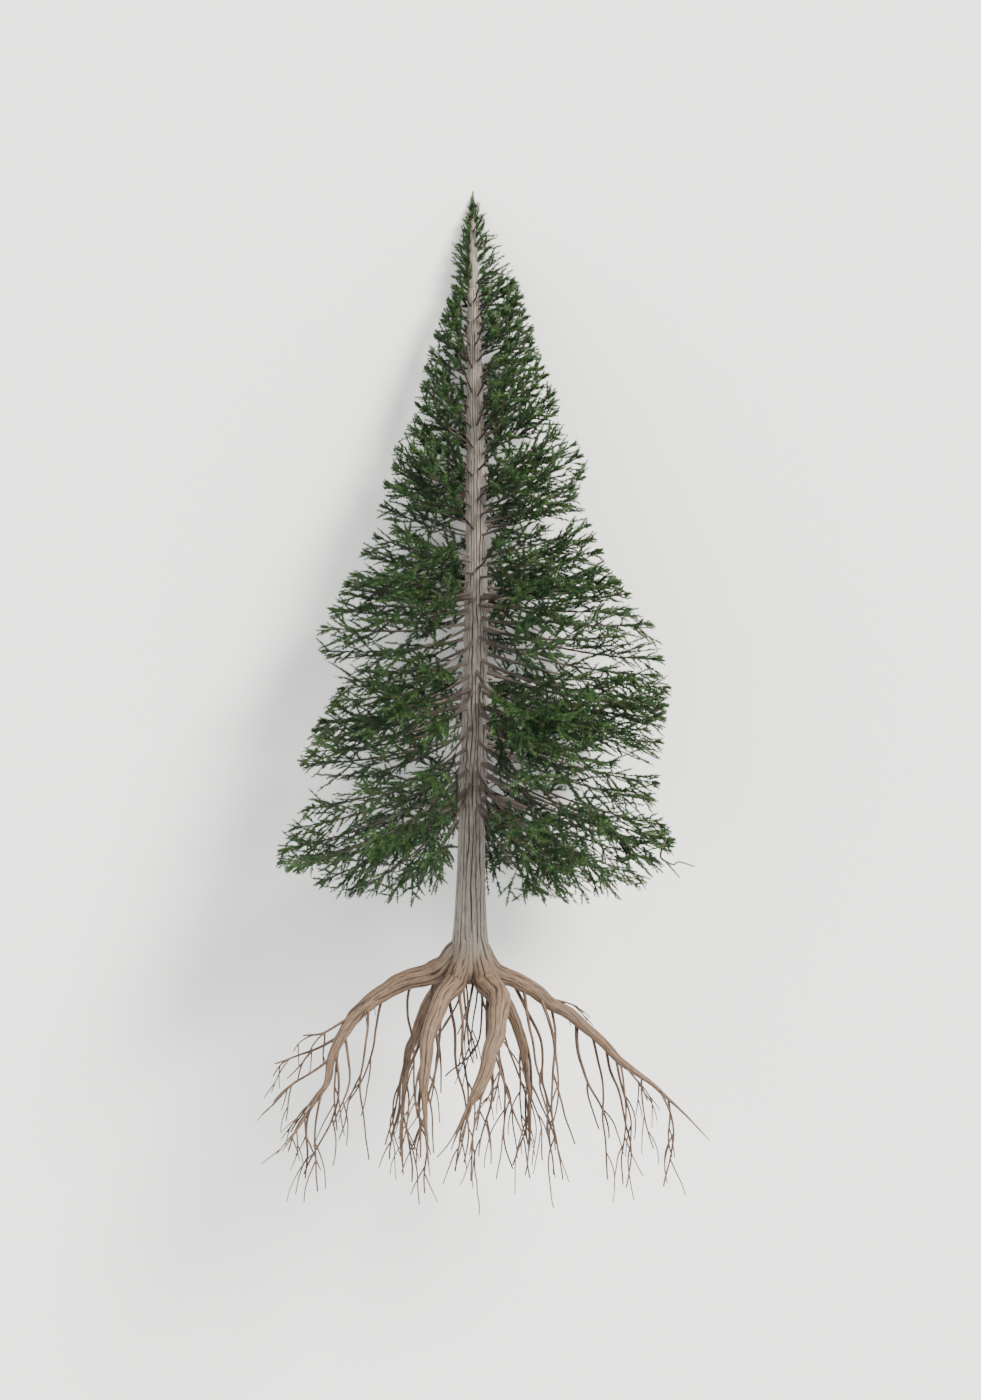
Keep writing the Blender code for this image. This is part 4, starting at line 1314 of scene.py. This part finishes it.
# The thin end of each root: its azimuth, how far out and how far down it goes. The last number is
# how much fuller the whole root's bark is than its solid.
ROOT_ENDS = {
    "left": (185, 0.46, 0.72, 1.08),
    "front_left": (20, 0.06, 0.92, 1.28),
    "front_right": (192, 0.26, 0.56, 1.48),
    "right": (4, 0.89, 0.80, 1.12),
    "back_right": (56, 0.10, 0.95, 1.08),
    "back_left": (134, 0.05, 1.05, 1.08),
}


def root_line(root):
    """The source's line of a root, from the flare to where its rootlets begin."""
    rng = random.Random(root.name)
    path = []
    for i in range(ROOT_RINGS):
        t = i / (ROOT_RINGS - 1)
        out = ROOT_START + root.reach * (1 - (1 - t) ** root.bend)
        point = outward(root.azimuth + root.turn * t) * out + UP * (root.start - root.depth * t**root.fall)
        play = Vector([rng.uniform(-ROOT_WANDER, ROOT_WANDER) for _ in range(3)])
        path.append(point + play if i > 1 else point)
    return path


def root_end_line(root, path):
    """The line of the thin end that carries on from a root, bending down."""
    azimuth, out, down, _ = ROOT_ENDS[root.name]
    ahead = (path[-1] - path[-2]).normalized()
    heading = outward(azimuth)
    end = path[-1] + heading * out - UP * down
    middle = path[-1] + (ahead * down + heading * out) * 0.3 - UP * (0.15 * down)
    shares = (0.2, 0.4, 0.6, 0.8, 1.0)
    return [path[-1] * (1 - s) ** 2 + middle * (2 * s * (1 - s)) + end * s**2 for s in shares]


print("roots:", [root.name for root in ROOTS])

# %% Root limbs
ROOT_TAPER = 0.9
ROOT_SPLITS = 12
ROOT_SPLIT_DEPTH = 0.085
ROOT_TIP_RADIUS = 0.0045
ROOT_SIDES = 64
ROOT_RING_STEP = 0.020
KINK = 0.016
SWELLING = 0.14

# Three points of every buttress: how far out it is, how high, and its share of the root's thickness
BUTTRESS = ((0.050, 0.72, 0.34), (0.085, 0.44, 0.58), (0.115, 0.20, 0.86))


def rough_limb(path, radii, seed):
    """The path with small kinks and the radii with small swellings, as a root has them."""
    for i, point in enumerate(path):
        along_limb = i * 0.09 + seed
        kink = Vector([noise.noise(Vector((along_limb, axis * 9.0, seed))) for axis in range(3)])
        path[i] = point + kink * min(KINK, 0.35 * radii[i])
        radii[i] *= 1 + SWELLING * noise.noise(Vector((along_limb * 1.7, seed, 5.0)))


root_limbs = {}
for number, root in enumerate(ROOTS):
    line = root_line(root)
    buttress = [outward(root.azimuth) * out + UP * height for out, height, _ in BUTTRESS]
    corners = buttress + line[1:] + root_end_line(root, line)
    fuller = ROOT_ENDS[root.name][3]
    thickness = [root.thick * share * math.sqrt(fuller) for _, _, share in BUTTRESS]
    thickness += [r * fuller for r in tapered(root.thick, root.thin, ROOT_RINGS, ROOT_TAPER)[1:]]
    thickness += tapered(root.thin * 0.8, ROOT_TIP_RADIUS, 5, 0.8)
    steps = path_steps(corners)
    count = int(steps[-1] / ROOT_RING_STEP)
    path = smooth_path(corners, count)
    radii = list(np.interp(np.linspace(0, steps[-1], count), steps, thickness))
    rough_limb(path, radii, number * 3.7)
    depth = [ROOT_SPLIT_DEPTH * r for r in radii]
    split = fissure_field(ROOT_SPLITS, number + 0.5)
    piece = skin_limb("root_skin_" + root.name, path, radii, ROOT_SIDES, depth, split)
    keep_piece(piece, ["root_" + root.name])
    root_limbs[root.name] = (path, radii)
print("root skins:", len(root_limbs))

# %% [markdown]
# ## Rootlets
# Lifted roots end in long thin rootlets that hang, wander and fork. They leave the undersides of
# the thick roots too, so the whole root ball looks like a beard. Each one steps downwards with a
# slowly changing sway, and gives off thinner ones on its way. Where one would leave the room that
# the tree takes up as it lies, it turns down, and at the top of that room also back.

# %% One rootlet
ROOTLET_STEP = 0.040
ROOTLET_PULL = 0.12
ROOTLET_SWAY = 0.095
ROOTLET_LEAN = 0.015
ROOTLET_TURN_BACK = 0.42
ROOTLET_END = 0.0080
ROOT_BOTTOM = -2.37
LEFT_OVER = 0.10
LOWEST_TIP = 0.05


def within_reach(point):
    """Whether a point stays inside the tree's own reach, once the tree lies down."""
    x, _, z = lie @ point
    (left, _, _), (right, _, top) = size_before
    return left - LEFT_OVER < x < right - SHOOT_MARGIN and LOWEST_TIP < z < top - SHOOT_MARGIN


def grow_rootlet(lines, start, way, length, radius, rng, forks, lean, pull=ROOTLET_PULL):
    """A rootlet that hangs from its start, with thinner ones leaving its lower half."""
    path = [start]
    sway = Vector((0, 0, 0))
    for _ in range(max(int(length / ROOTLET_STEP), 3)):
        sway = sway * 0.82 + Vector([rng.uniform(-1, 1) for _ in range(3)]) * ROOTLET_SWAY
        way = (way + sway * 0.5 + lean * ROOTLET_LEAN - UP * pull).normalized()
        if not within_reach(path[-1] + way * ROOTLET_STEP):
            way = (way * 0.3 - UP).normalized()
            if (lie @ path[-1]).z > size_before[1][2] - SHOOT_MARGIN:
                way = (way + BACK * ROOTLET_TURN_BACK).normalized()
        if path[-1].z + way.z * ROOTLET_STEP < ROOT_BOTTOM:
            break
        path.append(path[-1] + way * ROOTLET_STEP)
    if len(path) < 3:
        return
    lines.add(path, tapered(radius, min(ROOTLET_END, radius * 0.6), len(path), 0.8))
    side = rng.choice((-1, 1))
    for k in range(forks):
        share = 0.42 + 0.42 * (k + rng.random()) / forks
        foot, ahead = along(path, share)
        side = -side
        turn_out = outward(90 - 90 * side + rng.uniform(-55, 55)) * rng.uniform(0.45, 0.80)
        thin = (radius + (ROOTLET_END - radius) * share**0.8) * 0.9
        rest = length * rng.uniform(0.26, 0.42) + 0.12
        grow_rootlet(lines, foot, (ahead + turn_out).normalized(), rest, thin, rng, forks // 3, lean)


print("rootlets step", ROOTLET_STEP, "m at a time")

# %% Rootlets of every root
ROOTLET_COUNTS = {"left": 9, "right": 12, "front_left": 5, "front_right": 5, "back_right": 6, "back_left": 6}
ROOTLET_RADIUS = (0.0205, 0.0145)
ROOTLET_LOOK = {"sides": 6, "relief": 0.4, "grain": 60.0, "skin": rootlet_bark}
FORK_ROOTLETS = 4

# Side roots: the root that bears one, its share along the root, its azimuth, fall, length and radius
SIDE_ROOTS = (
    ("left", 0.40, 195, 0.25, 0.34, 0.014),
    ("left", 0.52, 190, 0.62, 0.72, 0.020),
    ("left", 0.60, 186, 0.60, 0.80, 0.020),
    ("left", 0.68, 172, 0.72, 0.80, 0.019),
    ("left", 0.76, 196, 0.95, 0.66, 0.017),
    ("left", 0.84, 180, 1.30, 0.52, 0.014),
    ("right", 0.38, 5, 0.12, 0.36, 0.015),
    ("right", 0.66, 345, 0.90, 0.55, 0.014),
    ("front_left", 0.62, 190, 1.60, 0.60, 0.014),
    ("front_right", 0.60, 320, 1.50, 0.60, 0.014),
)


def hanging_rootlets(root, lines, rng, lean):
    """Rootlets that leave a root's underside, all along its middle."""
    path, radii = root_limbs[root.name]
    count = ROOTLET_COUNTS[root.name]
    for k in range(count):
        share = 0.24 + 0.62 * (k + rng.random()) / count
        foot, ahead = along(path, share)
        radius = radii[min(int(share * len(radii)), len(radii) - 1)]
        heading = outward(rng.uniform(0, 360))
        aside = (heading - ahead * heading.dot(ahead)).normalized()
        way = (aside * 0.45 - UP * 0.9 + ahead * 0.3).normalized()
        start = foot + (aside - UP * 0.8).normalized() * (radius * 0.7)
        thick = min(ROOTLET_RADIUS[0], max(radius * 0.35, ROOTLET_RADIUS[1])) * rng.uniform(0.75, 1.1)
        run = rng.uniform(0.5, 1.0) * max(start.z - ROOT_BOTTOM, 0.35)
        grow_rootlet(lines, start, way, run, thick, rng, rng.choice((1, 2, 2)), lean)


rootlet_total = 0
for root in ROOTS:
    rng = random.Random(root.name + " rootlets")
    lines = Lines()
    lean = outward(root.azimuth + root.turn)
    hanging_rootlets(root, lines, rng, lean)
    for name, share, azimuth, fall, length, thick in SIDE_ROOTS:
        if name == root.name:
            foot = along(root_limbs[name][0], share)[0]
            way = (outward(azimuth) - UP * fall).normalized()
            grow_rootlet(lines, foot, way, length, thick, rng, 3, lean, 0.02)
    for _ in range(FORK_ROOTLETS if root.name.startswith("front") else 0):
        start = Vector((rng.uniform(-0.12, 0.16), rng.uniform(-0.16, 0.0), -0.08))
        way = (outward(rng.uniform(200, 340)) * 0.25 - UP).normalized()
        grow_rootlet(lines, start, way, rng.uniform(0.5, 1.2), rng.uniform(0.010, 0.014), rng, 1, Vector())
    piece = run_group(lines, bark_group, "root_hair_" + root.name, **ROOTLET_LOOK)
    rootlet_total += keep_piece(piece, ["rootlets_" + root.name])
print("triangles in the rootlets:", rootlet_total)

# %% [markdown]
# ## Sizes and the end
# The lesson ends by writing down the box of the solid model.

# %% Finish
print("box of the solids:", size_before)
